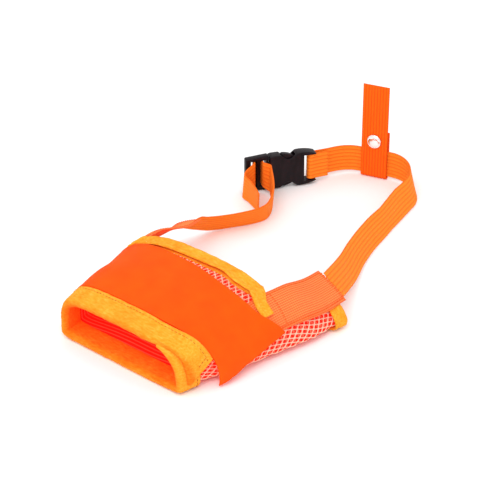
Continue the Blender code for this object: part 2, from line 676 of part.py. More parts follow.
def make_tab(surface):
    fold_z = TAB_HALF_GAP + WEB_THICKNESS / 2
    turns = [math.radians(-22.5 * step) for step in range(9)]
    wrap = [(TAB_HALF_GAP * math.cos(turn), fold_z + TAB_HALF_GAP * math.sin(turn)) for turn in turns]
    front = [(TAB_HALF_GAP, z) for z in (TAB_HEIGHT, 0.060, 0.045, SNAP_Z, 0.020, 0.010)]
    loop = strip("tab_loop", front + wrap + [(-TAB_HALF_GAP, TAB_WRAP_TOP)], surface, tab_point(0.0, 0.0))
    punch(loop, "tab_front_hole", surface)
    heights = (TAB_BACK_FOOT, 0.012, 0.020, SNAP_Z, TAB_BACK_HEIGHT)
    hinge = tab_point(-TAB_HALF_GAP, TAB_HINGE_Z)
    back = strip("tab_back", [(-TAB_HALF_GAP, z) for z in heights], surface, hinge)
    punch(back, "tab_back_hole", surface)


def make_snap(metal):
    """The press stud: a domed cap and its socket on the front layer, a stud and its post on the back one."""
    outside, inside = TAB_HALF_GAP + WEB_THICKNESS / 2, TAB_HALF_GAP - WEB_THICKNESS / 2
    cap_foot, shank_end = outside + GAP, inside - GAP
    dome = [math.radians(90.0 - 15.0 * step) for step in range(7)]
    cap = [(SNAP_CAP_RADIUS * math.cos(turn), cap_foot + SNAP_CAP_HEIGHT * math.sin(turn)) for turn in dome[1:]]
    cap = [(0.0, cap_foot + SNAP_CAP_HEIGHT)] + cap
    cap += [(SNAP_SHANK_RADIUS, cap_foot), (SNAP_SHANK_RADIUS, shank_end), (0.0, shank_end)]
    turned("snap_cap", cap, metal)
    socket_top = inside - GAP
    socket_foot = socket_top - SNAP_SOCKET_HEIGHT
    ring = [(SNAP_SOCKET_BORE, socket_top), (SNAP_SOCKET_RADIUS, socket_top), (SNAP_SOCKET_RADIUS, socket_foot)]
    ring += [(SNAP_SOCKET_BORE, socket_foot), (SNAP_SOCKET_BORE, socket_top)]
    turned("snap_socket", ring, metal)
    plate_foot = GAP - inside
    plate_top = plate_foot + SNAP_PLATE
    nub_top = plate_top + SNAP_NUB_HEIGHT
    stud = [(0.0, nub_top), (SNAP_NUB_RADIUS, nub_top), (SNAP_NUB_RADIUS, plate_top)]
    stud += [(SNAP_STUD_RADIUS, plate_top), (SNAP_STUD_RADIUS, plate_foot), (0.0, plate_foot)]
    shank_top, head_top = plate_foot - GAP, -outside - GAP
    post = [(0.0, shank_top), (SNAP_SHANK_RADIUS, shank_top), (SNAP_SHANK_RADIUS, head_top)]
    post += [(SNAP_POST_RADIUS, head_top), (SNAP_POST_RADIUS, head_top - SNAP_POST_HEIGHT)]
    post += [(0.0, head_top - SNAP_POST_HEIGHT)]
    pivot = bpy.data.objects.new("tab_flap_pivot", None)
    pivot.location = tab_point(-TAB_HALF_GAP, TAB_HINGE_Z) - BOX_CENTRE
    parts.objects.link(pivot)
    hold(turned("snap_stud", stud, metal), pivot)
    hold(turned("snap_post", post, metal), pivot)


clear_scene()
parts = make_collection(OBJECT_NAME)
cutters = make_collection("cutters")
mesh_fabric = material("orange_mesh", (0.95, 0.30, 0.16), 0.85)
fleece = material("amber_fleece", (1.0, 0.42, 0.03), 0.95)
cover_cloth = material("orange_cover_cloth", (1.0, 0.13, 0.01), 0.80)
elastic = material("orange_elastic", (0.93, 0.25, 0.06), 0.75)
web_cloth = material("orange_webbing", (1.0, 0.22, 0.03), 0.70)
plastic = material("black_acetal", (0.02, 0.02, 0.022), 0.35)
steel = material("nickel_steel", (0.80, 0.78, 0.76), 0.15, 1.0)

make_sleeve(mesh_fabric)
make_binding("front_binding", column_angles(), lambda angle: NOSE_X, -1.0, FRONT_BINDING_WIDTH, True, fleece)
make_bridge_binding(fleece)
make_rear_binding(fleece)
make_band(cover_cloth)
make_patch("patch_left", False, elastic)
make_patch("patch_right", True, elastic)
make_straps(web_cloth)
make_female(plastic)
make_male(plastic)
make_prong("prong_upper", 1, plastic)
make_prong("prong_lower", -1, plastic)
make_tab(web_cloth)
make_snap(steel)
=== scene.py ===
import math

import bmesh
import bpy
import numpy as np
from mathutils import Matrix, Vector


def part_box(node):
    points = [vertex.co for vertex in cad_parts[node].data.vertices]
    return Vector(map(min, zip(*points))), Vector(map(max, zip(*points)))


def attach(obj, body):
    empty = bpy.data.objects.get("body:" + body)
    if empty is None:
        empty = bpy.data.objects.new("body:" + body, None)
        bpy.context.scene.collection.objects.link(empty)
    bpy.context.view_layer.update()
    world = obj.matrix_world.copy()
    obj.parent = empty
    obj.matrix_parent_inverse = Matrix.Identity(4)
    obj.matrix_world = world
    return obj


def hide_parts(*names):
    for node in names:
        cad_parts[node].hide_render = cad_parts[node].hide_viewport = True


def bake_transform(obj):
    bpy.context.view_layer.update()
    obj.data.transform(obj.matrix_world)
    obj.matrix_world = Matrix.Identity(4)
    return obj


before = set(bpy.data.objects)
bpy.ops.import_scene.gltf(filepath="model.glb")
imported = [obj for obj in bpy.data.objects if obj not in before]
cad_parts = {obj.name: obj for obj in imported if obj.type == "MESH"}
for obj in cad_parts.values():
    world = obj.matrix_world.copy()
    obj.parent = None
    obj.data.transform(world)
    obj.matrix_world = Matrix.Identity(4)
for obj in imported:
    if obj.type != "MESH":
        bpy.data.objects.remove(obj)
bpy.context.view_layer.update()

# Looks of the soft dog muzzle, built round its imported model.
#
# Lengths are metres and angles are degrees. Cloth is worked out in the sleeve's own frame: +X runs to the
# nose, y = 0 is the sleeve's mid-plane, +Y is the wearer's left and z = 0 is the table. An angle round the
# sleeve starts at its left fold: 90 is the top, 180 the right fold and 270 the middle of the floor.

MM = 0.001
UP = np.array([0.0, 0.0, 1.0])

# Sleeve
NOSE_X, SWELL_X, BRIDGE_X = 0.1570, 0.1080, 0.0820
CHEEK_X_LEFT, CHEEK_X_RIGHT = 0.0360, 0.0500
NOSE_HALF_WIDTH, FLARE = 0.0487, 0.228
FOLD_Z, FOLD_DROP = 0.0057, 0.0029
NOSE_RISE, BRIDGE_RISE, CHEEK_RISE, RISE_POWER = 0.0250, 0.0375, 0.0305, 1.7
FLOOR_SQUARENESS = 5.0
CREASE, CREASE_TURN, CREASE_FRONT_X, CREASE_REAR_X, CREASE_RUN = 0.0040, 14.0, 0.147, 0.040, 0.025
NOSE_SQUARENESS_LEFT, NOSE_SQUARENESS_RIGHT = 2.8, 5.0
BAND_SQUARENESS_LEFT, BAND_SQUARENESS_RIGHT = 2.15, 2.7
BRIDGE_SQUARENESS, CHEEK_SQUARENESS = 2.7, 1.6
NOTCH_ANGLE_LEFT, NOTCH_ANGLE_RIGHT, NOTCH_SLANT = 40.0, 22.0, 1.5
CHEEK_ROUND, CHEEK_ROUND_TURN = 0.012, 15.0
BRIDGE_ROUND, BRIDGE_ROUND_TURN = 0.010, 14.0

# The sleeve's frame in the row frame: the front binding is even about the sleeve's mid-plane
FRONT_LOW, FRONT_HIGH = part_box("front_binding")
SHIFT = np.array([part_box("mesh_sleeve")[1].x - NOSE_X, (FRONT_LOW.y + FRONT_HIGH.y) / 2, 0.0])

# Net and lining
CELL_WIDTH, CELL_LENGTH, NET_SLANT, NET_TURN = 0.0031, 0.0058, 0.64, -0.25
STRAND_THICKNESS, KNOT_SHARE, STRAND_SHARE = 0.00060, 0.32, 0.19
NET_MARGIN = 0.0016
LINING_THICKNESS, LINING_DEPTH, LINING_INSET = 0.0003, 0.0005, 0.0030
LINING_STEP, LINING_ROWS = 0.0016, 50

# Fleece binding
FLEECE_THICKNESS = 0.0016
BINDING_OFFSET = 0.0019
FRONT_BINDING_WIDTH, REAR_BINDING_WIDTH = 0.0130, 0.0085
FLEECE_STEP, FLEECE_SEAM_COLUMNS, FLEECE_SEAM_ROW = 0.0008, (3, 12), -7
NAP_LUMP, NAP_LUMP_SIZE, NAP_TUFT, NAP_TUFT_SIZE = 0.00022, 0.0045, 0.00013, 0.0016
REAR_BINDING_START, REAR_BINDING_END = 158.0 - 360.0, 40.0
LAP_START, LAP_END = 58.0, -345.0
LAP_LENGTH, LAP_RISE, LAP_RECEDE, LAP_SQUASH, LAP_HANG = 0.034, 0.0030, 0.0046, 0.50, 14.0
TAIL_START_LEFT, TAIL_START_RIGHT = 53.0, 132.0
TAIL_FOOT_LEFT, TAIL_FOOT_RIGHT = 28.0, 142.0
TAIL_REAR_X, TAIL_FRONT_X, TAIL_OFFSET, TAIL_SQUASH, TAIL_THICKNESS = 0.0872, 0.0935, 0.0037, 0.30, 0.0010
TAIL_FLATTEN_LEAD, TAIL_FLATTEN_TURN, TAIL_SETTLE_SPEED = 3.0, 7.0, 1.5
GROOVE_DEPTH, GROOVE_WIDTH = 0.0006, 0.0009
LIP_RISE, LIP_ANGLE, LIP_TURN, LIP_START = 0.0024, 95.0, 20.0, 0.6
LIP_WAVE, LIP_WAVE_ANGLE, LIP_WAVE_TURN = 0.0013, 90.0, 4.5

# Patches, band and webbing
PATCH_WIDTH, PATCH_THICKNESS = 0.025, 0.0012
PATCH_FRONT_X, PATCH_REAR_X = 0.1040, 0.0300
PATCH_FRONT_ANGLE, PATCH_REAR_ANGLE = 27.0, 35.0
PATCH_FRONT_OFFSET, PATCH_REAR_OFFSET = 0.0019, 0.0039
PATCH_RISE_X, PATCH_RISE_LENGTH, PATCH_STEP = 0.0780, 0.0140, 0.0010
BOX_SEAM_COLUMN, BOX_SEAM_ROWS = 7, (26, -3, -5)
BAND_THICKNESS = 0.0008
BAND_FRONT_X_LEFT, BAND_FRONT_X_RIGHT = 0.1340, 0.1438
BAND_REAR_X, BAND_DIP, BAND_DIP_ANGLE, BAND_DIP_TURN = 0.0925, 0.0052, 66.0, 34.0
BAND_SPREAD, BAND_SPREAD_ANGLE, BAND_SPREAD_TURN = 0.0075, 38.0, 30.0
BAND_OVERLAP, OVERLAP_FRONT, OVERLAP_RUN, OVERLAP_ANGLE, OVERLAP_TURN = 0.0018, 0.004, 0.006, 60.0, 20.0
BAND_FRONT_OFFSET, BAND_REAR_OFFSET, BAND_LIFT_X = 0.0020, 0.0035, 0.120
BAND_LEFT_ANGLE_FRONT, BAND_LEFT_ANGLE_REAR, BAND_RIGHT_ANGLE = -3.0, 11.0, 172.0
BAND_SLANT_ANGLE = 80.0
BAND_CORNER_LIFT, CORNER_SHARE, CORNER_ANGLE, CORNER_TURN = 0.0045, 0.4, 30.0, 32.0
BAND_GAP, BAND_LENGTH, HEM_WIDTH, HEM_RISE = 0.0004, 0.150, 0.0020, 0.00025
BAND_STEP_ALONG, BAND_STEP_AROUND, WRINKLE_DEPTH, WRINKLE_SIZE = 0.0011, 0.0012, 0.00010, 0.010
STITCH_PITCH, FINE_STITCH_PITCH, STITCH_RADIUS = 0.0026, 0.0022, 0.00022
STITCH_SHARE, STITCH_SIDES = 0.35, 6
WEB_WIDTH, WEB_THICKNESS = 0.020, 0.0012

# Side-release buckle, standing on its edge. s runs along it from the female end to the male end
BUCKLE_CENTRE = np.array([-0.0840, -0.0770, 0.0140])
BUCKLE_AXIS = np.array([0.848, -0.530, 0.0]) / math.hypot(0.848, 0.530)
BUCKLE_FACE = np.cross(UP, BUCKLE_AXIS)
BAR_S, FOLD_RADIUS, FOLD_LAYER, FOLD_END_S, FOLD_END_UP = -0.0228, 0.0024, 0.0018, -0.0370, -0.0004
FOLD_NECK, FOLD_NECK_FACE = 0.0030, 0.0016
BUCKLE_HALF_WIDTH, BUCKLE_HALF_THICKNESS, WAIST_HALF_WIDTH = 0.0128, 0.0040, 0.0090
MOUTH_S, LEDGE_S, WINDOW_S, HOUSING_S, EAR_S = 0.0090, 0.0, -0.0105, -0.0168, -0.0262
WAIST_MARGIN, WAIST_POWER, BUCKLE_ROUND, EDGE_ROUND = 0.0012, 1.3, 0.0012, 0.0010
MOUTH_DRAW, MOUTH_RUN, HOUSING_SWELL, SWELL_RUN = 0.0006, 0.0020, 0.0002, 0.0030
EAR_DRAW, EAR_RUN = 0.0022, 0.0020
CAVITY_HALF_FACE, CAVITY_HALF_WIDTH, CAVITY_END_S, EAR_WIDTH = 0.0029, 0.0115, -0.0156, 0.0024
FRAME_S, FRAME_END_S, FRAME_HALF_WIDTH, FRAME_HALF_THICKNESS = 0.0096, 0.0268, 0.0137, 0.0026
INNER_SLOT_S, OUTER_SLOT_S, SLOT_LENGTH, SLOT_HALF_HEIGHT = 0.0138, 0.0208, 0.0044, 0.0102
BAR_RADIUS, MIDDLE_BAR_FACE, TAIL_FACE = 0.0015, 0.0024, 0.0034
THREAD_MARGIN, THREAD_TURN, THREAD_FACES = 0.0004, 0.0016, (0.0050, 0.0020, -0.0008)
CUT_DEPTH, CUT_MARGIN, WINDOW_STEP, FRAME_TAPER, TONGUE_ROOT = 0.01, 0.002, 0.0002, 0.0012, 0.001
TONGUE_S, TONGUE_HALF_WIDTH, TONGUE_HALF_THICKNESS = -0.0150, 0.0023, 0.0015
PRONG_INSIDE, PRONG_OUTSIDE, PRONG_HOOK, PRONG_HALF_THICKNESS = 0.0070, 0.0108, 0.0130, 0.0021
PRONG_ROOT_S, PRONG_TIP_S, PRONG_GAP, PRONG_CURVE = 0.0090, -0.0105, 0.0003, 2.2
PRONG_TIP_INSIDE, PRONG_TIP_OUTSIDE, PRONG_ROUND = 0.0006, 0.0012, 0.0006

# Tab looped round the strap
TAB_CENTRE = np.array([-0.1410, -0.0350, 0.0])
TAB_ALONG = np.array([-0.28, 0.96, 0.0]) / math.hypot(0.28, 0.96)
TAB_FACE = np.cross(TAB_ALONG, UP)
TAB_HEIGHT, TAB_BACK_HEIGHT, TAB_HALF_GAP, TAB_STRAIGHT = 0.0738, 0.0365, 0.0020, 0.0150
SNAP_Z, SNAP_GAP, SNAP_STEPS, SNAP_AXIS_BORE, SNAP_EDGE = 0.0300, 0.0003, 64, 0.00005, 0.0004
SNAP_CAP_RADIUS, SNAP_CAP_HEIGHT, SNAP_DOME_SHARE, SNAP_RIM = 0.00525, 0.0021, 0.76, 0.0005
SNAP_SOCKET_RADIUS, SNAP_SOCKET_BORE, SNAP_SOCKET_HEIGHT = 0.0040, 0.0022, 0.0016
SNAP_STUD_RADIUS, SNAP_PLATE = 0.0032, 0.0004
SNAP_NUB_RADIUS, SNAP_NUB_HEIGHT, SNAP_NUB_EDGE = 0.0018, 0.0010, 0.0003
SNAP_POST_RADIUS, SNAP_POST_HEIGHT, SNAP_POST_HOLE, SNAP_SHANK_RADIUS = 0.0036, 0.0009, 0.0010, 0.0014
TAB_BEND_Z, TAB_BEND_LENGTH = 0.0040, 0.0030
STRAP_FOOT_Z = 0.0022

# Straps, as (lower edge, upper edge) pairs along their routes
STRAP_LEFT_ROUTE = (
    ((0.0292, 0.0697, 0.0165), (0.0292, 0.0540, 0.0288)),
    ((0.0110, 0.0615, 0.0115), (0.0105, 0.0470, 0.0253)),
    ((-0.0080, 0.0520, 0.0060), (-0.0070, 0.0395, 0.0215)),
    ((-0.0340, 0.0390, 0.0024), (-0.0285, 0.0303, 0.0193)),
    ((-0.0560, 0.0308, 0.0009), (-0.0563, 0.0214, 0.0183)),
    ((-0.0855, 0.0231, 0.0008), (-0.0787, 0.0170, 0.0182)),
    ((-0.1110, 0.0176, 0.0008), (-0.1070, 0.0083, 0.0182)),
    ((-0.1253, 0.0136, 0.0008), (-0.1225, 0.0060, 0.0185)),
    ((-0.1345, 0.0079, 0.0009), (-0.1310, 0.0035, 0.0197)),
    ((-0.1420, -0.0010, 0.0012), (-0.1398, -0.0035, 0.0209)),
    ((-0.1455, -0.0110, 0.0018), (-0.1446, -0.0120, 0.0217)),
)
STRAP_LEFT_ROUTE_END = (
    ((-0.1293, -0.0562, 0.0028), (-0.1293, -0.0566, 0.0228)),
    ((-0.1165, -0.0612, 0.0036), (-0.1165, -0.0615, 0.0236)),
)
STRAP_RIGHT_ROUTE = (
    ((0.0292, -0.0695, 0.0165), (0.0292, -0.0538, 0.0288)),
    ((0.0150, -0.0712, 0.0085), (0.0185, -0.0592, 0.0240)),
    ((-0.0010, -0.0700, 0.0015), (0.0068, -0.0622, 0.0180)),
    ((-0.0165, -0.0617, 0.0008), (-0.0080, -0.0543, 0.0168)),
    ((-0.0325, -0.0535, 0.0008), (-0.0245, -0.0465, 0.0173)),
    ((-0.0420, -0.0530, 0.0008), (-0.0350, -0.0465, 0.0179)),
    ((-0.0535, -0.0590, 0.0020), (-0.0495, -0.0540, 0.0212)),
    ((-0.0682, -0.0729, 0.0030), (-0.0729, -0.0766, 0.0225)),
)
STRAP_TAIL_ROUTE = (
    ((-0.0537, -0.0861, 0.0024), (-0.0530, -0.0840, 0.0186)),
    ((-0.0500, -0.0775, 0.0020), (-0.0475, -0.0735, 0.0186)),
    ((-0.0460, -0.0688, 0.0022), (-0.0425, -0.0645, 0.0182)),
    ((-0.0420, -0.0615, 0.0024), (-0.0375, -0.0570, 0.0180)),
)
ADJUSTER_START, ADJUSTER_BEND_ROWS = 5, 26
ROOT_LEFT_BEND = ((0.0292, 0.0620, 0.0227), (-0.0060, 0.0459, 0.0140))
ROOT_RIGHT_BEND = ((0.0292, -0.0620, 0.0227), (0.0030, -0.0660, 0.0100))
FOLD_SEAM_ROWS, FOLD_SEAM_SHARE = (-3, -5), 0.45
WEB_STEP, WEB_ACROSS_STEP, RIB_PITCH, RIB_DEPTH = 0.0010, 0.00035, 0.0028, 0.00018
PATCH_RIB_PITCH, PATCH_RIB_DEPTH = 0.0014, 0.00010
TAB_RIB_PITCH = 0.0022

# Materials, in millimetres where a length
# INNER_GLOW is the strength of a painted glow, emission on cloth inside the sleeve.
SPECULAR, PLASTIC_SPECULAR, INNER_GLOW = 0.12, 0.16, 0.30
# Millimetres over which the fleece's painted shade fades in, and a start past every strip for fleece that has
# none
FLEECE_SHADE_FADE, ALL_LIGHT = 5.0, 90.0
WALE_PITCH, COURSE_PITCH = 3.2, 0.8
WEAVE_ACROSS, WEAVE_ALONG, TWILL_PITCH, TWILL_TURN = 0.62, 0.55, 0.62, 52.0
VALLEY_SHARPNESS, VALLEY_SHADE, THREAD_SHARPNESS, HEM_SHADE = 5.0, 0.8, 3.0, 0.22
WHITE = (1.0, 1.0, 1.0)

# Camera and stage
CAMERA_TARGET = Vector((0.0, -0.033, 0.0)) + Vector(SHIFT)
CAMERA_AZIMUTH, CAMERA_ELEVATION, CAMERA_DISTANCE, CAMERA_LENS = 131.0, 30.0, 1.2, 127.1
LAMP_PLACE, LAMP_SIZE, LAMP_WATTS, TABLE_HALF_SIZE = Vector((0.9, 0.5, 1.4)), 1.2, 14.0, 6.0


def mix(start, end, share):
    return start + (end - start) * share


def both(half):
    return (-half, half)


def smoothstep(value):
    value = np.clip(value, 0.0, 1.0)
    return value * value * (3.0 - 2.0 * value)


def power(value, exponent):
    return np.copysign(np.abs(value) ** exponent, value)


# Sleeve's surface


def rise_at(x):
    share = np.clip((NOSE_X - x) / (NOSE_X - BRIDGE_X), 0.0, 1.0)
    ahead = NOSE_RISE + (BRIDGE_RISE - NOSE_RISE) * (1.0 - (1.0 - share) ** RISE_POWER)
    ahead = np.where(x > NOSE_X, NOSE_RISE, ahead)
    behind = mix(BRIDGE_RISE, CHEEK_RISE, smoothstep((BRIDGE_X - x) / (BRIDGE_X - CHEEK_X_LEFT)))
    return np.where(x >= BRIDGE_X, ahead, behind)


def squareness_at(x, is_left):
    nose = np.where(is_left, NOSE_SQUARENESS_LEFT, NOSE_SQUARENESS_RIGHT)
    band = np.where(is_left, BAND_SQUARENESS_LEFT, BAND_SQUARENESS_RIGHT)
    swell = mix(nose, band, smoothstep((NOSE_X - x) / (NOSE_X - SWELL_X)))
    bridge = mix(band, BRIDGE_SQUARENESS, smoothstep((SWELL_X - x) / (SWELL_X - BRIDGE_X)))
    cheek = mix(BRIDGE_SQUARENESS, CHEEK_SQUARENESS, smoothstep((BRIDGE_X - x) / (BRIDGE_X - CHEEK_X_LEFT)))
    return np.where(x >= SWELL_X, swell, np.where(x >= BRIDGE_X, bridge, cheek))


def crease_at(x, angle):
    """How far the left fold is pressed outwards into a crease."""
    turn = (angle + 180.0) % 360.0 - 180.0
    along = smoothstep((CREASE_FRONT_X - x) / CREASE_RUN) * smoothstep((x - CREASE_REAR_X) / CREASE_RUN)
    return CREASE * along * np.exp(-((turn / CREASE_TURN) ** 2))


def sleeve(x, angle):
    """Points of the sleeve's mid-surface, for arrays of x and angle."""
    x, angle = np.broadcast_arrays(np.asarray(x, float), np.asarray(angle, float))
    across, up = np.cos(np.radians(angle)), np.sin(np.radians(angle))
    above = up >= 0.0
    exponent = 2.0 / np.where(above, squareness_at(x, across >= 0.0), FLOOR_SQUARENESS)
    height = np.where(above, rise_at(x), FOLD_DROP)
    y = (NOSE_HALF_WIDTH + FLARE * (NOSE_X - x)) * power(across, exponent) + crease_at(x, angle)
    return np.stack([x, y, FOLD_Z + height * power(up, exponent)], axis=-1)


def unit(vectors):
    return vectors / np.maximum(np.linalg.norm(vectors, axis=-1, keepdims=True), 1e-12)


def sleeve_normal(x, angle):
    along = sleeve(x + 0.001, angle) - sleeve(x - 0.001, angle)
    around = sleeve(x, angle + 1.0) - sleeve(x, angle - 1.0)
    return unit(np.cross(around, along))


def over_sleeve(x, angle, offset):
    return sleeve(x, angle) + sleeve_normal(x, angle) * np.asarray(offset)[..., None]


def rear_x(angle):
    """Where the sleeve ends at each angle: far back at the cheeks and the floor, further forward on top."""
    angle = np.asarray(angle, float) % 360.0
    across = np.cos(np.radians(angle))
    is_left = across >= 0.0
    cheek = np.where(is_left, CHEEK_X_LEFT, CHEEK_X_RIGHT)
    floor = mix(CHEEK_X_RIGHT, CHEEK_X_LEFT, smoothstep((1.0 + across) / 2.0))
    above = np.where(is_left, angle - NOTCH_ANGLE_LEFT, 180.0 - angle - NOTCH_ANGLE_RIGHT)
    share = np.clip(1.0 + above / CHEEK_ROUND_TURN, 0.0, 1.0)
    low = cheek + CHEEK_ROUND * (1.0 - np.sqrt(1.0 - share * share))
    slant = mix(cheek + CHEEK_ROUND, BRIDGE_X - BRIDGE_ROUND, above / NOTCH_SLANT)
    share = np.clip(1.0 - (above - NOTCH_SLANT) / BRIDGE_ROUND_TURN, 0.0, 1.0)
    high = BRIDGE_X - BRIDGE_ROUND * (1.0 - np.sqrt(1.0 - share * share))
    on_top = np.where(above <= 0.0, low, np.where(above <= NOTCH_SLANT, slant, high))
    return np.where(np.sin(np.radians(angle)) < 0.0, floor, on_top)


def arc_table(x):
    """Angles, and how far round the section at x each one lies."""
    angles = np.linspace(-100.0, 460.0, 2241)
    return angles, run_along(sleeve(x, angles))


def angle_after(x, angle, arcs):
    """The angles that lie arcs metres round the section at x from angle."""
    angles, run = arc_table(x)
    return np.interp(np.interp(angle, angles, run) + arcs, run, angles)


# Mesh building


def noise(points, size, seed):
    """Smooth noise from -1 to 1 whose lumps are about size across."""
    table = np.random.default_rng(seed).uniform(-1.0, 1.0, (32, 32, 32))
    cell = points / size
    low = np.floor(cell).astype(int)
    share = smoothstep(cell - low)
    total = 0.0
    for corner in np.ndindex(2, 2, 2):
        weight = np.prod(np.where(np.array(corner) == 1, share, 1.0 - share), axis=-1)
        index = (low + corner) % 32
        total = total + weight * table[index[..., 0], index[..., 1], index[..., 2]]
    return total


def mesh_object(name, points, faces, materials, uv=None, slots=None, weld=False):
    """A smooth-shaded object from points in the sleeve's frame. uv is a pair of millimetres for each."""
    mesh = bpy.data.meshes.new(name)
    mesh.from_pydata((points + SHIFT).tolist(), [], faces)
    for surface in materials:
        mesh.materials.append(surface)
    if slots is not None:
        mesh.polygons.foreach_set("material_index", slots)
    if uv is not None:
        corners = np.zeros(len(mesh.loops), int)
        mesh.loops.foreach_get("vertex_index", corners)
        layer = mesh.uv_layers.new(name="cloth")
        layer.data.foreach_set("uv", uv[corners].astype(np.float32).ravel())
    if weld:
        shape = bmesh.new()
        shape.from_mesh(mesh)
        bmesh.ops.remove_doubles(shape, verts=shape.verts, dist=1e-6)
        shape.to_mesh(mesh)
        shape.free()
    mesh.shade_smooth()
    return add_object(name, mesh)


def grid_normals(grid, closed):
    """Normals of a grid whose columns, then rows, run anticlockwise round them."""
    if closed:
        along = np.roll(grid, -1, 0) - np.roll(grid, 1, 0)
        along[0] = grid[1] - grid[-2]
        along[-1] = along[0]
    else:
        along = np.gradient(grid, axis=0)
    return unit(np.cross(np.gradient(grid, axis=1), along))


def run_along(line):
    return np.concatenate([[0.0], np.cumsum(np.linalg.norm(np.diff(line, axis=0), axis=1))])


def at_runs(values, run, places):
    return np.stack([np.interp(places, run, column) for column in values.T], axis=1)


def lengths_along(grid):
    """How far each grid point lies along its column, in metres."""
    steps = np.linalg.norm(np.diff(grid, axis=0), axis=2)
    return np.concatenate([np.zeros((1, grid.shape[1])), np.cumsum(steps, axis=0)])


def edge_fade(distance, radius):
    """Share of its thickness that a cloth with a rounded edge has at a distance from it."""
    share = np.clip(distance / radius, 0.0, 1.0)
    return np.sqrt(1.0 - (1.0 - share) ** 2) * 0.92 + 0.08


def border_distance(grid, closed, cut_ends):
    """How far each point lies from the cloth's sides and from those ends that are cut, not carried on."""
    along, across = lengths_along(grid), lengths_along(grid.transpose(1, 0, 2)).T
    distance = np.minimum(across, across[:, -1:] - across)
    if not closed and cut_ends[0]:
        distance = np.minimum(distance, along)
    if not closed and cut_ends[1]:
        distance = np.minimum(distance, along[-1:] - along)
    return distance


def spread(length, radius, step):
    """Places from 0 to length, a step apart and closer where an edge of that radius rounds off."""
    turn = radius * (1.0 - np.cos(np.linspace(0.0, math.pi / 2, 4)))
    count = max(round((length - 2 * radius) / step), 1)
    middle = np.linspace(radius, length - radius, count + 1)
    return np.concatenate([turn[:-1], middle, length - turn[:-1][::-1]])


def cloth(
    name, grid, thickness, materials, outer=0.0, inner=0.0,
    closed=False, cut_ends=(True, True), normals=None,
):
    """A solid sheet round a grid of mid-surface points. outer and inner are reliefs on its two faces."""
    rows, columns = grid.shape[:2]
    if normals is None:
        normals = grid_normals(grid, closed)
    half = thickness / 2 * edge_fade(border_distance(grid, closed, cut_ends), np.mean(thickness) / 2)
    top = grid + normals * (half + outer)[..., None]
    bottom = grid - normals * (half + inner)[..., None]
    points = np.concatenate([top.reshape(-1, 3), bottom.reshape(-1, 3)])
    along = lengths_along(grid)[:, columns // 2 : columns // 2 + 1] / MM
    across = lengths_along(grid.transpose(1, 0, 2)).T / MM
    uv = np.stack([across, np.broadcast_to(along, across.shape)], axis=-1).reshape(-1, 2)
    index = np.arange(rows * columns).reshape(rows, columns)
    quads = np.stack([index[:-1, :-1], index[:-1, 1:], index[1:, 1:], index[1:, :-1]], axis=-1).reshape(-1, 4)
    under = quads[:, ::-1] + rows * columns
    rims = [index[:, 0], index[::-1, -1]]
    if not closed:
        rims += [index[0, ::-1], index[-1]]
    other = rows * columns
    sides = [np.stack([rim[:-1], rim[1:], rim[1:] + other, rim[:-1] + other], axis=-1) for rim in rims]
    faces = np.concatenate([quads, under, *sides])
    slots = np.zeros(len(faces), int)
    if len(materials) > 1:
        slots[len(quads) : 2 * len(quads)] = 1
    return mesh_object(name, points, faces.tolist(), materials, np.concatenate([uv, uv]), slots, weld=closed)


def seam(grid, thickness, row=None, column=None):
    """A seam's line and normals on a cloth's outer face, along one of its columns or rows."""
    normals = grid_normals(grid, closed=False)
    pick = (slice(None), column) if row is None else row
    return grid[pick] + normals[pick] * (thickness / 2), normals[pick]


def make_stitches(name, seams, surface, pitch=STITCH_PITCH):
    """Short stitches, one after another along each seam and sunk halfway into the cloth."""
    turns = np.arange(STITCH_SIDES) * math.tau / STITCH_SIDES
    profile = ((0.0, 0.4), (0.18, 1.0), (0.82, 1.0), (1.0, 0.4))
    points, faces = [], []
    for line, normals in seams:
        run = run_along(line)
        middles = (np.arange(int(run[-1] / pitch)) + 0.5) * pitch
        for place in middles:
            ends = at_runs(line, run, place + np.array(both(STITCH_SHARE)) * pitch)
            normal = unit(at_runs(normals, run, np.array([place]))[0])
            side = np.cross(unit(ends[1] - ends[0]), normal)
            start = len(points)
            for share, swell in profile:
                ring = np.cos(turns)[:, None] * side + np.sin(turns)[:, None] * normal
                points.extend(mix(ends[0], ends[1], share) + ring * (STITCH_RADIUS * swell))
            for ring, turn in np.ndindex(len(profile) - 1, STITCH_SIDES):
                first = start + STITCH_SIDES * ring + turn
                after = start + STITCH_SIDES * ring + (turn + 1) % STITCH_SIDES
                faces.append((first, first + STITCH_SIDES, after + STITCH_SIDES, after))
            faces.append(tuple(range(start, start + STITCH_SIDES)))
            faces.append(tuple(range(len(points) - 1, len(points) - 1 - STITCH_SIDES, -1)))
    return mesh_object(name, np.array(points), faces, [surface])


# Materials


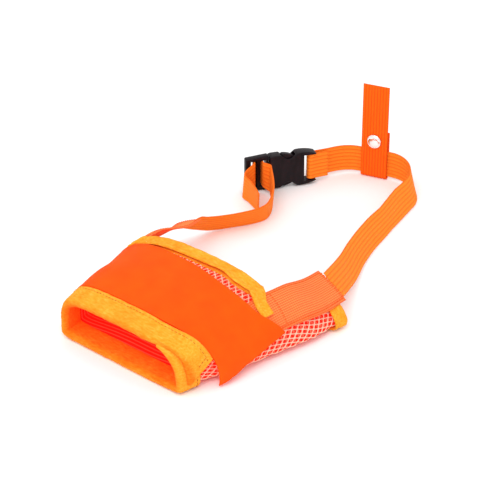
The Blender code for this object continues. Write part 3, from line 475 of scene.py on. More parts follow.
class Nodes:
    """A Principled material and short ways to add nodes to it."""

    def __init__(self, name, colour, roughness, metallic=0.0):
        self.material = bpy.data.materials.new(name)
        self.material.use_nodes = True
        self.tree = self.material.node_tree
        self.shader = self.tree.nodes["Principled BSDF"]
        self.shader.inputs["Base Color"].default_value = (*colour, 1.0)
        self.shader.inputs["Roughness"].default_value = roughness
        self.shader.inputs["Metallic"].default_value = metallic
        self.shader.inputs["Specular IOR Level"].default_value = SPECULAR

    def add(self, kind, **settings):
        node = self.tree.nodes.new(kind)
        for key, value in settings.items():
            setattr(node, key, value)
        return node

    def link(self, source, target):
        if isinstance(source, (int, float)):
            target.default_value = source
        else:
            self.tree.links.new(source, target)

    def math(self, operation, first, second=0.0, third=0.0):
        node = self.add("ShaderNodeMath", operation=operation)
        for source, target in zip((first, second, third), node.inputs):
            self.link(source, target)
        return node.outputs[0]

    def place(self, scale=(1.0, 1.0, 1.0), on_cloth=False):
        """Coordinates in millimetres, along the cloth or in space, times scale."""
        if on_cloth:
            source = self.add("ShaderNodeUVMap", uv_map="cloth").outputs[0]
        else:
            source = self.add("ShaderNodeTexCoord").outputs["Object"]
            scale = tuple(value / MM for value in scale)
        mapping = self.add("ShaderNodeMapping")
        mapping.inputs["Scale"].default_value = scale
        self.link(source, mapping.inputs[0])
        return mapping.outputs[0]

    def split(self, where):
        node = self.add("ShaderNodeSeparateXYZ")
        self.link(where, node.inputs[0])
        return node.outputs

    def noise(self, where, size, detail=2.0):
        node = self.add("ShaderNodeTexNoise")
        node.inputs["Scale"].default_value = 1.0 / size
        node.inputs["Detail"].default_value = detail
        self.link(where, node.inputs["Vector"])
        return node.outputs["Fac"]

    def ramp(self, value, stops):
        node = self.add("ShaderNodeValToRGB")
        self.link(value, node.inputs[0])
        while len(node.color_ramp.elements) < len(stops):
            node.color_ramp.elements.new(0.5)
        for element, (place, colour) in zip(node.color_ramp.elements, stops):
            element.position = place
            element.color = (*colour, 1.0)
        return node.outputs[0]

    def blend(self, share, first, second, mode="MIX"):
        node = self.add("ShaderNodeMix", data_type="RGBA", blend_type=mode)
        self.link(share, node.inputs[0])
        for source, target in ((first, node.inputs[6]), (second, node.inputs[7])):
            if isinstance(source, tuple):
                target.default_value = (*source, 1.0)
            else:
                self.link(source, target)
        return node.outputs[2]

    def wave(self, along_v, pitch, where):
        """A cosine ridge from 0 to 1 every pitch millimetres across the cloth, or along it."""
        place = self.split(where)[1 if along_v else 0]
        turn = self.math("MULTIPLY", place, math.tau / pitch)
        return self.math("MULTIPLY_ADD", self.math("COSINE", turn), 0.5, 0.5)

    def bump(self, height, depth):
        node = self.add("ShaderNodeBump")
        node.inputs["Distance"].default_value = depth
        self.link(height, node.inputs["Height"])
        self.link(node.outputs[0], self.shader.inputs["Normal"])

    def colour(self, source):
        self.link(source, self.shader.inputs["Base Color"])

    def roughen(self, source, low, high):
        """A roughness that runs from low to high with a source."""
        node = self.add("ShaderNodeMapRange")
        self.link(source, node.inputs["Value"])
        node.inputs["To Min"].default_value = low
        node.inputs["To Max"].default_value = high
        self.link(node.outputs[0], self.shader.inputs["Roughness"])

    def glow(self, tint, strength):
        """Painted glow: emission that stands in for light coming through thin cloth from its other side."""
        self.shader.inputs["Emission Color"].default_value = (*tint, 1.0)
        self.shader.inputs["Emission Strength"].default_value = strength

    def sheen(self, weight, roughness, tint):
        self.shader.inputs["Sheen Weight"].default_value = weight
        self.shader.inputs["Sheen Roughness"].default_value = roughness
        self.shader.inputs["Sheen Tint"].default_value = (*tint, 1.0)


def fleece_material(name, shade_from):
    """Brushed nap in short streaks, amber outside. From the given millimetres across the strip it turns a
    deeper orange, which is painted shade over the fold and the leg inside the sleeve.
    """
    made = Nodes(name, (1.0, 0.36, 0.03), 1.0)
    tufts = made.noise(made.place((1.0, 0.35, 1.6)), 1.3, 4.0)
    places = (0.30, 0.52, 0.75)
    light = made.ramp(tufts, list(zip(places, ((1.0, 0.27, 0.010), (1.0, 0.35, 0.025), (1.0, 0.45, 0.06)))))
    painted_shade = made.ramp(tufts, list(zip(places, ((1.0, 0.13, 0.002), (1.0, 0.18, 0.006), (1.0, 0.25, 0.02)))))
    inner = made.add("ShaderNodeMapRange", interpolation_type="SMOOTHSTEP")
    made.link(made.split(made.place(on_cloth=True))[0], inner.inputs["Value"])
    inner.inputs["From Min"].default_value = shade_from
    inner.inputs["From Max"].default_value = shade_from + FLEECE_SHADE_FADE
    # Painted shade: past the given width across the strip, the deeper ramp takes over.
    shade = made.blend(inner.outputs[0], light, painted_shade)
    patches = made.noise(made.place(), 16.0)
    warm = made.ramp(patches, [(0.35, (1.0, 0.90, 0.8)), (0.62, (1.0, 1.06, 1.1))])
    made.colour(made.blend(1.0, shade, warm, "MULTIPLY"))
    made.bump(made.noise(made.place((1.0, 0.4, 1.4)), 0.45, 4.0), 0.00035)
    made.sheen(0.12, 0.5, (1.0, 0.6, 0.15))
    return made.material


def cover_material(name, shade, glow):
    """Fine plain weave: threads both ways, with a faint cloud over it, and a painted glow at the given
    strength.
    """
    made = Nodes(name, shade, 0.8)
    where = made.place(on_cloth=True)
    weave = made.math("MULTIPLY", made.wave(False, WEAVE_ACROSS, where), made.wave(True, WEAVE_ALONG, where))
    red, green, blue = shade
    cloud = made.noise(made.place(), 14.0)
    toned = made.ramp(cloud, [(0.3, (red, green * 0.90, blue)), (0.7, (red, green * 1.10, blue))])
    speck = made.ramp(weave, [(0.0, (0.97, 0.86, 0.7)), (0.6, WHITE)])
    fleck = made.ramp(made.noise(where, 0.5, 3.0), [(0.35, (0.98, 0.90, 0.9)), (0.6, WHITE)])
    made.colour(made.blend(1.0, made.blend(1.0, toned, speck, "MULTIPLY"), fleck, "MULTIPLY"))
    made.bump(weave, 0.00010)
    # Painted glow in the cloth's own colour.
    made.glow(shade, glow)
    return made.material


def webbing_material(name, light, dark, rib_pitch, rib_start, cross_pitch=0.9, cross_depth=0.0, hem=0.0):
    """Woven webbing: long ribs with painted shade in the narrow valleys between them, weft lines across them
    and perhaps darker hems.
    """
    made = Nodes(name, light, 0.75)
    where = made.place(on_cloth=True)
    across = made.split(where)[0]
    turn = made.math("MULTIPLY", made.math("ADD", across, -rib_start), math.tau / rib_pitch)
    painted_valley_shade = made.math("MULTIPLY_ADD", made.math("COSINE", turn), 0.5, 0.5)
    painted_valley_shade = made.math("POWER", painted_valley_shade, VALLEY_SHARPNESS)
    threads = made.wave(True, cross_pitch, where)
    slant = made.add("ShaderNodeMapping")
    slant.inputs["Rotation"].default_value = (0.0, 0.0, math.radians(TWILL_TURN))
    made.link(where, slant.inputs[0])
    twill = made.wave(False, TWILL_PITCH, slant.outputs[0])
    fibre = made.noise(made.place((1.0, 0.12, 1.0), on_cloth=True), 0.5, 3.0)
    body = made.ramp(fibre, [(0.3, (light[0], light[1] * 0.86, light[2])), (0.7, light)])
    # Painted shade: the valleys between the ribs are blended towards the dark colour.
    toned = made.blend(made.math("MULTIPLY", painted_valley_shade, VALLEY_SHADE), body, dark)
    lines = made.math("MULTIPLY", made.math("POWER", threads, THREAD_SHARPNESS), cross_depth)
    toned = made.blend(lines, toned, dark)
    if hem:
        half = PATCH_WIDTH / MM / 2
        inside = made.math("SUBTRACT", made.math("ABSOLUTE", made.math("SUBTRACT", across, half)), half - hem)
        in_hem = made.math("GREATER_THAN", inside, 0.0)
        toned = made.blend(made.math("MULTIPLY", in_hem, HEM_SHADE), toned, dark)
    speck = made.ramp(twill, [(0.0, (0.97, 0.82, 0.7)), (0.7, WHITE)])
    made.colour(made.blend(1.0, toned, speck, "MULTIPLY"))
    relief = made.math("ADD", made.math("MULTIPLY", twill, 0.6), made.math("MULTIPLY", threads, 0.4))
    made.bump(relief, 0.00018)
    made.sheen(0.06, 0.4, (1.0, 0.5, 0.15))
    return made.material


def fibre_material(name, light, dark, patch_size, grain_size, grain_depth, glow=0.0):
    """Thin yarn that runs between two shades, with a fine grain, and a painted glow in the darker shade at
    the given strength.
    """
    made = Nodes(name, light, 0.7)
    made.colour(made.ramp(made.noise(made.place(), patch_size), [(0.3, dark), (0.7, light)]))
    made.bump(made.noise(made.place(), grain_size), grain_depth)
    made.glow(dark, glow)
    return made.material


def strand_material(name, light, dark, glow):
    return fibre_material(name, light, dark, 2.5, 0.25, 0.0001, glow)


def lining_material():
    """Thin red knit with fine wales, and a painted red glow as of light through the cloth."""
    made = Nodes("red_knit_lining", (0.95, 0.02, 0.006), 0.9)
    where = made.place(on_cloth=True)
    wales = made.wave(False, WALE_PITCH, where)
    courses = made.wave(True, COURSE_PITCH, where)
    knit = made.ramp(wales, [(0.12, (1.0, 0.16, 0.09)), (0.45, (0.90, 0.018, 0.006))])
    made.colour(made.blend(made.math("MULTIPLY", courses, 0.35), knit, (0.85, 0.01, 0.004)))
    made.bump(made.math("ADD", wales, made.math("MULTIPLY", courses, 0.3)), 0.0002)
    made.glow((0.95, 0.02, 0.008), INNER_GLOW)
    return made.material


def thread_material(name, light, dark):
    return fibre_material(name, light, dark, 0.4, 0.12, 0.00004)


def plastic_material():
    """Moulded black acetal: a fine spark-eroded grain, and faint scuffs that break its gloss."""
    made = Nodes("black_acetal", (0.010, 0.005, 0.007), 0.42)
    made.shader.inputs["Specular IOR Level"].default_value = PLASTIC_SPECULAR
    scuffs = made.noise(made.place((1.0, 1.0, 0.25)), 3.0, 4.0)
    made.colour(made.ramp(scuffs, [(0.35, (0.006, 0.003, 0.004)), (0.7, (0.013, 0.006, 0.009))]))
    made.roughen(scuffs, 0.34, 0.50)
    made.bump(made.noise(made.place(), 0.18, 3.0), 0.00003)
    return made.material


def steel_material():
    """Bright nickel plate with hairline polishing marks."""
    made = Nodes("nickel_plate", (0.95, 0.93, 0.91), 0.10, 1.0)
    marks = made.noise(made.place((1.0, 0.2, 1.0)), 0.6, 4.0)
    made.roughen(marks, 0.06, 0.20)
    made.bump(marks, 0.00001)
    return made.material


# Pieces of the sleeve


def bilinear(table, rows, columns):
    """Values of a table between its whole rows and columns."""
    rows = np.clip(rows, 0.0, table.shape[0] - 1.001)
    columns = np.clip(columns, 0.0, table.shape[1] - 1.001)
    row, column = rows.astype(int), columns.astype(int)
    near = mix(table[row, column], table[row, column + 1], columns - column)
    far = mix(table[row + 1, column], table[row + 1, column + 1], columns - column)
    return mix(near, far, rows - row)


def net_nodes():
    """The net's knots by row and column, and which of them lie on the sleeve from seam to seam."""
    xs = np.linspace(CHEEK_X_LEFT, NOSE_X, 40)
    shares = np.linspace(0.0, 1.0, 400)
    turns, girths = [], []
    for x in xs:
        angles, run = arc_table(x)
        start, end = np.interp([-90.0, 270.0], angles, run)
        turns.append(np.interp(mix(start, end, shares), run, angles))
        girths.append(end - start)
    girth, length = np.mean(girths), NOSE_X - CHEEK_X_LEFT
    skew = 1.0 - NET_SLANT * NET_TURN
    rows = math.ceil((length + NET_SLANT * girth) / skew / CELL_LENGTH * 2)
    along = -np.arange(rows + 1)[:, None] * CELL_LENGTH / 2
    before, after = (math.ceil(reach / skew / CELL_WIDTH * 2) for reach in (-NET_TURN * length, girth))
    across = np.arange(-before, after + 1)[None, :] * CELL_WIDTH / 2
    x, share = NOSE_X + along + NET_SLANT * across, (across + NET_TURN * along) / girth
    angle = bilinear(np.array(turns), (x - CHEEK_X_LEFT) / length * (len(xs) - 1), share * (len(shares) - 1))
    on_sleeve = (x >= rear_x(angle) + NET_MARGIN) & (x <= NOSE_X) & (share >= 0.0) & (share <= 1.0)
    return sleeve(x, angle), sleeve_normal(x, angle), on_sleeve


def make_net(outside, inside):
    """A net of slanted diamonds over the whole sleeve. Each cell is a rounded hole between four strands. The
    strands' faces towards the inside of the sleeve take the second material, a painted-shade copy of them.
    """
    nodes, normals, on_sleeve = net_nodes()
    points, faces, slots, used = [], [], [], {}

    def vertex(key, place):
        if key not in used:
            used[key] = len(points)
            points.append(place)
        return used[key]

    def corners_of(row, column):
        return [(row - 1, column), (row, column - 1), (row + 1, column), (row, column + 1)]

    cells = [
        (row, column)
        for row in range(1, len(nodes) - 1)
        for column in range(1, nodes.shape[1] - 1)
        if (row + column) % 2 and all(on_sleeve[knot] for knot in [(row, column), *corners_of(row, column)])
    ]
    kept = set(cells)
    for row, column in cells:
        corners = corners_of(row, column)
        beyond = [(row - 1, column - 1), (row + 1, column - 1), (row + 1, column + 1), (row - 1, column + 1)]
        centre = sum(nodes[corner] for corner in corners) / 4
        upper, lower, hole = [], [], []
        for corner, after in zip(corners, corners[1:] + corners[:1]):
            middle = (nodes[corner] + nodes[after]) / 2
            ends = tuple(sorted((corner, after)))
            for key, place, inset in ((corner, nodes[corner], KNOT_SHARE), (ends, middle, STRAND_SHARE)):
                lift = normals[corner] * STRAND_THICKNESS / 2
                upper.append(vertex((key, 1), place + lift))
                lower.append(vertex((key, -1), place - lift))
                hole.append(vertex((row, column, key), mix(place, centre, inset)))
        for step in range(8):
            after = (step + 1) % 8
            faces.append((upper[step], upper[after], hole[after], hole[step]))
            faces.append((lower[after], lower[step], hole[step], hole[after]))
            slots += [0, 1]
            if beyond[step // 2] not in kept:
                faces.append((upper[after], upper[step], lower[step], lower[after]))
                slots.append(0)
    return mesh_object("mesh_sleeve_net", np.array(points), faces, [outside, inside], slots=slots)


def fold_section(width):
    """(depth from the edge, offset) pairs of cloth folded over it, from the outer face to the inner one."""
    flat = np.linspace(width, 0.0, round(width / FLEECE_STEP))[:-1]
    turns = np.radians(np.linspace(90.0, 270.0, 11))
    arc = [(BINDING_OFFSET * math.cos(turn), math.sin(turn)) for turn in turns]
    return [(depth, 1.0) for depth in flat] + arc + [(depth, -1.0) for depth in flat[::-1]]


def fleece_relief(grid, seed):
    return NAP_LUMP * noise(grid, NAP_LUMP_SIZE, seed) + NAP_TUFT * noise(grid, NAP_TUFT_SIZE, seed + 1)


def band_front_x(angle):
    """The cover band's front edge, which swings back towards the left corner."""
    return mix(BAND_FRONT_X_LEFT, BAND_FRONT_X_RIGHT, smoothstep(angle / BAND_SLANT_ANGLE))


def band_rear_x(angle):
    """The band's rear edge: it leaves the bridge's fleece, and spreads out over the left patch."""
    dip = BAND_DIP * np.exp(-(((angle - BAND_DIP_ANGLE) / BAND_DIP_TURN) ** 2))
    return BAND_REAR_X + dip - BAND_SPREAD * smoothstep((BAND_SPREAD_ANGLE - angle) / BAND_SPREAD_TURN)


def front_binding_grid():
    """Fleece folded over the nose end. It starts under the left corner, and its cut end laps over that."""
    angles, run = arc_table(NOSE_X)
    start, end = np.interp([LAP_START, LAP_END + 360.0], angles, run)
    around = np.interp([0.0, 360.0], angles, run)
    total = (around[1] - around[0]) - (end - start)
    places = spread(total, FLEECE_THICKNESS / 2, FLEECE_STEP)
    where = start - places
    where = np.where(where < around[0], where + around[1] - around[0], where)
    turn = np.interp(where, run, angles)
    lap = smoothstep((places - (total - LAP_LENGTH)) / (LAP_LENGTH * 0.7))
    under = smoothstep(1.0 - places / LAP_LENGTH)
    squash = 1.0 - (1.0 - LAP_SQUASH) * np.maximum(lap, under)
    recede = LAP_RECEDE * lap
    stretch = (NOSE_X - band_front_x(turn) - BAND_GAP - recede) / FRONT_BINDING_WIDTH
    grid = []
    for depth, side in fold_section(FRONT_BINDING_WIDTH):
        reach = np.where(depth > 0.0, mix(depth, depth * stretch + recede, lap), depth * squash + recede)
        offset = side * BINDING_OFFSET * squash + LAP_RISE * lap
        hang = LAP_HANG * (1.0 - max(depth, 0.0) / FRONT_BINDING_WIDTH) * lap
        grid.append(over_sleeve(NOSE_X - reach, turn - hang, offset))
    return np.stack(grid, axis=1)


def band_grid():
    """Points by how far back they lie and how far round, and each row's run from the front edge."""
    rows = spread(BAND_FRONT_X_RIGHT - BAND_REAR_X, BAND_THICKNESS / 2, BAND_STEP_ALONG)[::-1]
    columns = spread(BAND_LENGTH, BAND_THICKNESS / 2, BAND_STEP_AROUND)
    share = (rows / rows.max())[:, None]
    along = (columns / columns[-1])[None, :]
    start = mix(BAND_LEFT_ANGLE_FRONT, BAND_LEFT_ANGLE_REAR, share)
    angle = mix(start, BAND_RIGHT_ANGLE, along)
    front_x = band_front_x(angle)
    x = mix(front_x, band_rear_x(angle), share)
    lift = smoothstep((front_x - x) / (front_x - BAND_LIFT_X))
    corner = smoothstep(1.0 - share / CORNER_SHARE) * smoothstep((CORNER_ANGLE - angle) / CORNER_TURN)
    offset = mix(BAND_FRONT_OFFSET, BAND_REAR_OFFSET, lift) + BAND_CORNER_LIFT * corner
    lap = smoothstep((BAND_REAR_X + OVERLAP_FRONT - x) / OVERLAP_RUN)
    lap = lap * smoothstep((OVERLAP_ANGLE - angle) / OVERLAP_TURN)
    return over_sleeve(x, angle, offset + BAND_OVERLAP * lap), share * (BAND_FRONT_X_RIGHT - BAND_REAR_X)


def make_band(surface, under):
    """A band over the snout with a narrow hem along its front and rear edges. Its underside takes the second
    material, a red painted-shade copy of the cover cloth.
    """
    grid, run = band_grid()
    wrinkle = WRINKLE_DEPTH * noise(grid * np.array([1.0, 0.35, 1.0]), WRINKLE_SIZE, 11)
    edge = np.minimum(run, run.max() - run)
    hem = HEM_RISE * smoothstep((HEM_WIDTH - edge) / (HEM_WIDTH / 4))
    return cloth("cover_band_cloth", grid, BAND_THICKNESS, [surface, under], wrinkle + hem, hem - wrinkle)


def patch_columns():
    return spread(PATCH_WIDTH, PATCH_THICKNESS / 2, WEB_ACROSS_STEP)


def patch_grid(mirrored):
    rows = spread(PATCH_FRONT_X - PATCH_REAR_X, PATCH_THICKNESS / 2, PATCH_STEP)
    grid = []
    for share in rows / rows[-1]:
        x = mix(PATCH_FRONT_X, PATCH_REAR_X, share)
        middle = mix(PATCH_FRONT_ANGLE, PATCH_REAR_ANGLE, share)
        angle = angle_after(x, middle, patch_columns() - PATCH_WIDTH / 2)
        rise = smoothstep((PATCH_RISE_X - x) / PATCH_RISE_LENGTH)
        offset = mix(PATCH_FRONT_OFFSET, PATCH_REAR_OFFSET, rise)
        angle = 180.0 - angle if mirrored else angle
        grid.append(over_sleeve(x, angle, np.full(len(angle), offset)))
    grid = np.array(grid)
    return grid if mirrored else grid[:, ::-1]


def make_patch(name, grid, surface):
    ribs = PATCH_RIB_DEPTH * np.cos(patch_columns() / PATCH_RIB_PITCH * math.tau)
    ribs = np.broadcast_to(ribs, grid.shape[:2])
    return cloth(name, grid, PATCH_THICKNESS, [surface], ribs, ribs)


def box_seams(grid):
    """Seams along both long edges of a patch, across its front once and across its rear end twice."""
    inset = BOX_SEAM_COLUMN
    seams = [seam(grid, PATCH_THICKNESS, column=column) for column in (inset, -inset - 1)]
    for row in BOX_SEAM_ROWS:
        line, normals = seam(grid, PATCH_THICKNESS, row=row)
        seams.append((line[inset:-inset], normals[inset:-inset]))
    return [(line + normals * PATCH_RIB_DEPTH, normals) for line, normals in seams]


def make_lining(surface):
    """The thin knitted layer inside the net."""
    turn = even_angles(0.0, 360.0, LINING_STEP)[:, None]
    share = np.linspace(1.0, 0.0, LINING_ROWS)[None, :]
    x = mix(NOSE_X - LINING_INSET, rear_x(turn) + LINING_INSET / 2, share)
    turn = np.broadcast_to(turn, x.shape)
    normals = sleeve_normal(x, turn)
    grid = sleeve(x, turn) - normals * LINING_DEPTH
    return cloth("mesh_sleeve_lining", grid, LINING_THICKNESS, [surface], closed=True, normals=-normals)


# Fleece on the rear edges


def edge_frame(turn):
    """For each angle: the rear edge's point, the sleeve's normal there and the way into the cloth."""
    edge = sleeve(rear_x(turn), turn)
    ahead, behind = sleeve(rear_x(turn + 0.5), turn + 0.5), sleeve(rear_x(turn - 0.5), turn - 0.5)
    normal = sleeve_normal(rear_x(turn), turn)
    return edge, normal, unit(np.cross(normal, ahead - behind))


def nearest_on_sleeve(points, angle):
    """The angle at which the sleeve's section passes nearest to each point."""
    for _ in range(6):
        around = sleeve(points[:, 0], angle + 0.5) - sleeve(points[:, 0], angle - 0.5)
        miss = points - sleeve(points[:, 0], angle)
        angle = angle + np.clip((miss * around).sum(1) / (around**2).sum(1), -4.0, 4.0)
    return angle


def even_angles(first, last, step):
    """Angles a step apart along the sleeve's rear edge."""
    fine = np.linspace(first, last, 2001)
    run = run_along(sleeve(rear_x(fine), fine))
    places = spread(run[-1], FLEECE_THICKNESS / 2, step)
    return np.interp(places, run, fine)


def rear_binding_grid():
    turn = even_angles(REAR_BINDING_START, REAR_BINDING_END, FLEECE_STEP)
    edge, normal, into = edge_frame(turn)
    grid = []
    for depth, side in fold_section(REAR_BINDING_WIDTH):
        base, lift = edge + into * depth, normal
        if depth > BINDING_OFFSET:
            near = nearest_on_sleeve(base, turn)
            base, lift = sleeve(base[:, 0], near), sleeve_normal(base[:, 0], near)
        grid.append(base + lift * (side * BINDING_OFFSET))
    return np.stack(grid, axis=1)


def bridge_binding_grid():
    """Fleece folded over the bridge's edge. Its ends flatten and run down over the fronts of the patches."""
    turn = np.linspace(TAIL_FOOT_LEFT, TAIL_FOOT_RIGHT, 150)
    left = (TAIL_START_LEFT - turn) / (TAIL_START_LEFT - TAIL_FOOT_LEFT)
    right = (turn - TAIL_START_RIGHT) / (TAIL_FOOT_RIGHT - TAIL_START_RIGHT)
    down = np.clip(np.maximum(left, right), 0.0, 1.0)
    flat = smoothstep((down * (TAIL_START_LEFT - TAIL_FOOT_LEFT) + TAIL_FLATTEN_LEAD) / TAIL_FLATTEN_TURN)
    settled = smoothstep(down * TAIL_SETTLE_SPEED)
    rear = mix(rear_x(np.clip(turn, TAIL_START_LEFT, TAIL_START_RIGHT)), TAIL_REAR_X, settled)
    width = mix(REAR_BINDING_WIDTH, TAIL_FRONT_X - TAIL_REAR_X, settled)
    wavy = smoothstep((LIP_WAVE_ANGLE - turn) / LIP_TURN)
    wave = LIP_WAVE * np.sin(turn / LIP_WAVE_TURN) * wavy * (1.0 - flat)
    curled = smoothstep((LIP_ANGLE - turn) / LIP_TURN)
    squash = mix(1.0, TAIL_SQUASH, flat)
    grid = []
    for depth, side in fold_section(REAR_BINDING_WIDTH):
        share = depth / REAR_BINDING_WIDTH
        reach = np.where(depth > 0.0, share * (width + wave), depth * squash)
        lip = LIP_RISE * smoothstep((share - LIP_START) / (1.0 - LIP_START)) * curled * (side > 0.0)
        offset = side * BINDING_OFFSET * squash + TAIL_OFFSET * flat + lip * (1.0 - flat)
        grid.append(over_sleeve(rear + reach, turn, offset))
    return np.stack(grid, axis=1), mix(FLEECE_THICKNESS, TAIL_THICKNESS, flat)[:, None]


def groove(columns):
    """A stitched groove along the middle of a folded strip's outer leg."""
    depths = np.array([depth if side > 0.0 else -1.0 for depth, side in columns])
    return -GROOVE_DEPTH * np.exp(-(((depths - REAR_BINDING_WIDTH * 0.5) / GROOVE_WIDTH) ** 2))[None, :]


def make_fleece(name, grid, surface, seed, thickness=FLEECE_THICKNESS, relief=0.0):
    outer, inner = fleece_relief(grid, seed) + relief, fleece_relief(grid, seed + 2)
    return cloth(name, grid, thickness, [surface], outer, inner)


# Webbing


def smooth_route(route):
    """Middles and width directions at even steps along a smooth curve through a route's edge pairs."""
    low, high = np.array(route, float).transpose(1, 0, 2)
    middles, widths = (low + high) / 2, unit(high - low)
    run = run_along(middles)
    last = len(run) - 1
    left, right = np.maximum(np.arange(last + 1) - 1, 0), np.minimum(np.arange(last + 1) + 1, last)
    slopes = (middles[right] - middles[left]) / (run[right] - run[left])[:, None]
    at = np.linspace(0.0, run[-1], round(run[-1] / WEB_STEP) + 1)
    index = np.clip(np.searchsorted(run, at, side="right") - 1, 0, last - 1)
    length = (run[index + 1] - run[index])[:, None]
    share = (at - run[index])[:, None] / length
    square, cube = share**2, share**3
    line = (
        middles[index] * (2 * cube - 3 * square + 1)
        + slopes[index] * length * (cube - 2 * square + share)
        + middles[index + 1] * (3 * square - 2 * cube)
        + slopes[index + 1] * length * (cube - square)
    )
    return line, unit(mix(widths[index], widths[index + 1], share))


def web_ribs(across, pitch):
    """Broad ribs with narrow valleys between them, level with the cloth's thickness at their tops."""
    turn = np.cos((across - WEB_WIDTH / 2) / pitch * math.pi)
    return -RIB_DEPTH * np.abs(turn) ** 8


def webbing(name, line, widths, surface, pitch=RIB_PITCH, cut_ends=(True, True)):
    """A flat strap along a line, with its cut ends rounded off."""
    across = spread(WEB_WIDTH, WEB_THICKNESS / 2, WEB_ACROSS_STEP)
    grid = line[:, None, :] + widths[:, None, :] * (across - WEB_WIDTH / 2)[None, :, None]
    ribs = np.broadcast_to(web_ribs(across, pitch)[None, :], grid.shape[:2])
    return cloth(name, grid, WEB_THICKNESS, [surface], ribs, ribs, cut_ends=cut_ends)


def buckle_point(s, face=0.0, up=0.0):
    return BUCKLE_CENTRE + BUCKLE_AXIS * s + BUCKLE_FACE * face + UP * up


def resampled(line, widths):
    """The same strap with its rows a step apart."""
    run = run_along(line)
    places = np.linspace(0.0, run[-1], round(run[-1] / WEB_STEP) + 1)
    return at_runs(line, run, places), unit(at_runs(widths, run, places))


def strap_seam(line, widths, row):
    """A seam across a strap at one of its rows."""
    normal = unit(np.cross(widths[row], line[row + 1] - line[row]))
    across = np.array(both(FOLD_SEAM_SHARE))[:, None] * WEB_WIDTH
    return line[row] + widths[row] * across + normal * (WEB_THICKNESS / 2), np.tile(normal, (2, 1))


def left_strap():
    near, far = TAB_CENTRE + TAB_ALONG * TAB_STRAIGHT, TAB_CENTRE - TAB_ALONG * TAB_STRAIGHT
    foot, head = UP * STRAP_FOOT_Z, UP * (STRAP_FOOT_Z + WEB_WIDTH)
    straight = tuple((middle + foot, middle + head) for middle in (near, TAB_CENTRE, far))
    line, widths = smooth_route(STRAP_LEFT_ROUTE + straight + STRAP_LEFT_ROUTE_END)
    behind = line[-1]
    turns = np.radians(np.linspace(-90.0, 90.0, 13))
    around = FOLD_RADIUS * np.stack([np.cos(turns), np.sin(turns)], axis=1)
    fold = [buckle_point(BAR_S + s, face) for s, face in around]
    end = buckle_point(FOLD_END_S, 0.0, FOLD_END_UP)
    fold.append(buckle_point(BAR_S - FOLD_NECK, FOLD_NECK_FACE))
    fold.append(mix(behind, end, 0.5) + BUCKLE_FACE * FOLD_LAYER)
    line = np.concatenate([line, np.array(fold)])
    widths = np.concatenate([widths, np.tile(UP, (len(fold), 1))])
    return resampled(line, widths)


def adjuster_loop():
    """The strap from the end of the right side, in through the frame and round its middle bar."""
    line, widths = smooth_route(STRAP_RIGHT_ROUTE)
    split = np.linalg.norm(line - np.mean(STRAP_RIGHT_ROUTE[ADJUSTER_START], axis=0), axis=1).argmin()
    _, middle, far = THREAD_FACES
    threaded = [buckle_point(INNER_SLOT_S + THREAD_MARGIN, face) for face in THREAD_FACES]
    behind = (INNER_SLOT_S + THREAD_TURN, OUTER_SLOT_S - THREAD_TURN)
    threaded += [buckle_point(s, -MIDDLE_BAR_FACE) for s in behind]
    threaded += [buckle_point(OUTER_SLOT_S - THREAD_MARGIN, face) for face in (far, middle, TAIL_FACE)]
    loop = np.concatenate([line[split:], np.array(threaded)])
    loop_widths = np.concatenate([widths[split:], np.tile(UP, (len(threaded), 1))])
    return line[: split + 1], widths[: split + 1], *resampled(loop, loop_widths)


def strap_tail():
    """The strap's loose end, from the frame's outer slot back along the strap."""
    start = buckle_point(OUTER_SLOT_S - THREAD_MARGIN, TAIL_FACE)
    start_pair = (tuple(start - UP * WEB_WIDTH / 2), tuple(start + UP * WEB_WIDTH / 2))
    return smooth_route((start_pair,) + STRAP_TAIL_ROUTE)


def tab_point(face, z):
    return TAB_CENTRE + TAB_FACE * face + UP * z


def make_tab(surface):
    """The tab's front leg with the fold under the strap, and its rear leg, which opens."""
    fold_z = TAB_HALF_GAP + WEB_THICKNESS / 2
    turns = np.radians(np.linspace(0.0, -180.0, 17))
    line = [tab_point(TAB_HALF_GAP, z) for z in np.linspace(TAB_HEIGHT, fold_z, 60)[:-1]]
    arch = zip(TAB_HALF_GAP * np.cos(turns), fold_z + TAB_HALF_GAP * np.sin(turns))
    line += [tab_point(face, z) for face, z in arch]
    line += [tab_point(-TAB_HALF_GAP, z) for z in np.linspace(fold_z, TAB_BACK_HEIGHT, 30)[1:]]
    line, widths = resampled(np.array(line), np.tile(TAB_ALONG, (len(line), 1)))
    behind = (line - TAB_CENTRE) @ TAB_FACE < 0
    split = np.flatnonzero(behind & (line[:, 2] > TAB_BEND_Z))[0]
    front = webbing("tab_web", line[: split + 1], widths[: split + 1], surface, TAB_RIB_PITCH, (True, False))
    flap = webbing("tab_flap_web", line[split:], widths[split:], surface, TAB_RIB_PITCH, (False, True))
    return front, flap


# Press stud


def turned(name, profile, surface):
    """A solid turned about the press stud's axis from (radius, place along the axis) points."""
    turns = np.arange(SNAP_STEPS) * math.tau / SNAP_STEPS
    spokes = np.cos(turns)[:, None] * TAB_ALONG + np.sin(turns)[:, None] * UP
    points = np.concatenate([tab_point(along, SNAP_Z) + radius * spokes for radius, along in profile])
    faces = []
    for ring, turn in np.ndindex(len(profile), SNAP_STEPS):
        here, there = ring * SNAP_STEPS, (ring + 1) % len(profile) * SNAP_STEPS
        after = (turn + 1) % SNAP_STEPS
        faces.append((here + turn, here + after, there + after, there + turn))
    return mesh_object(name, points, faces, [surface])


def rolled(radius, foot, top, rim):
    """The outer edge of a disc, rounded from its foot to its top."""
    turns = np.radians(np.linspace(-90.0, 90.0, 9))
    half = (top - foot) / 2
    return [(radius - rim + rim * math.cos(turn), foot + half + half * math.sin(turn)) for turn in turns]


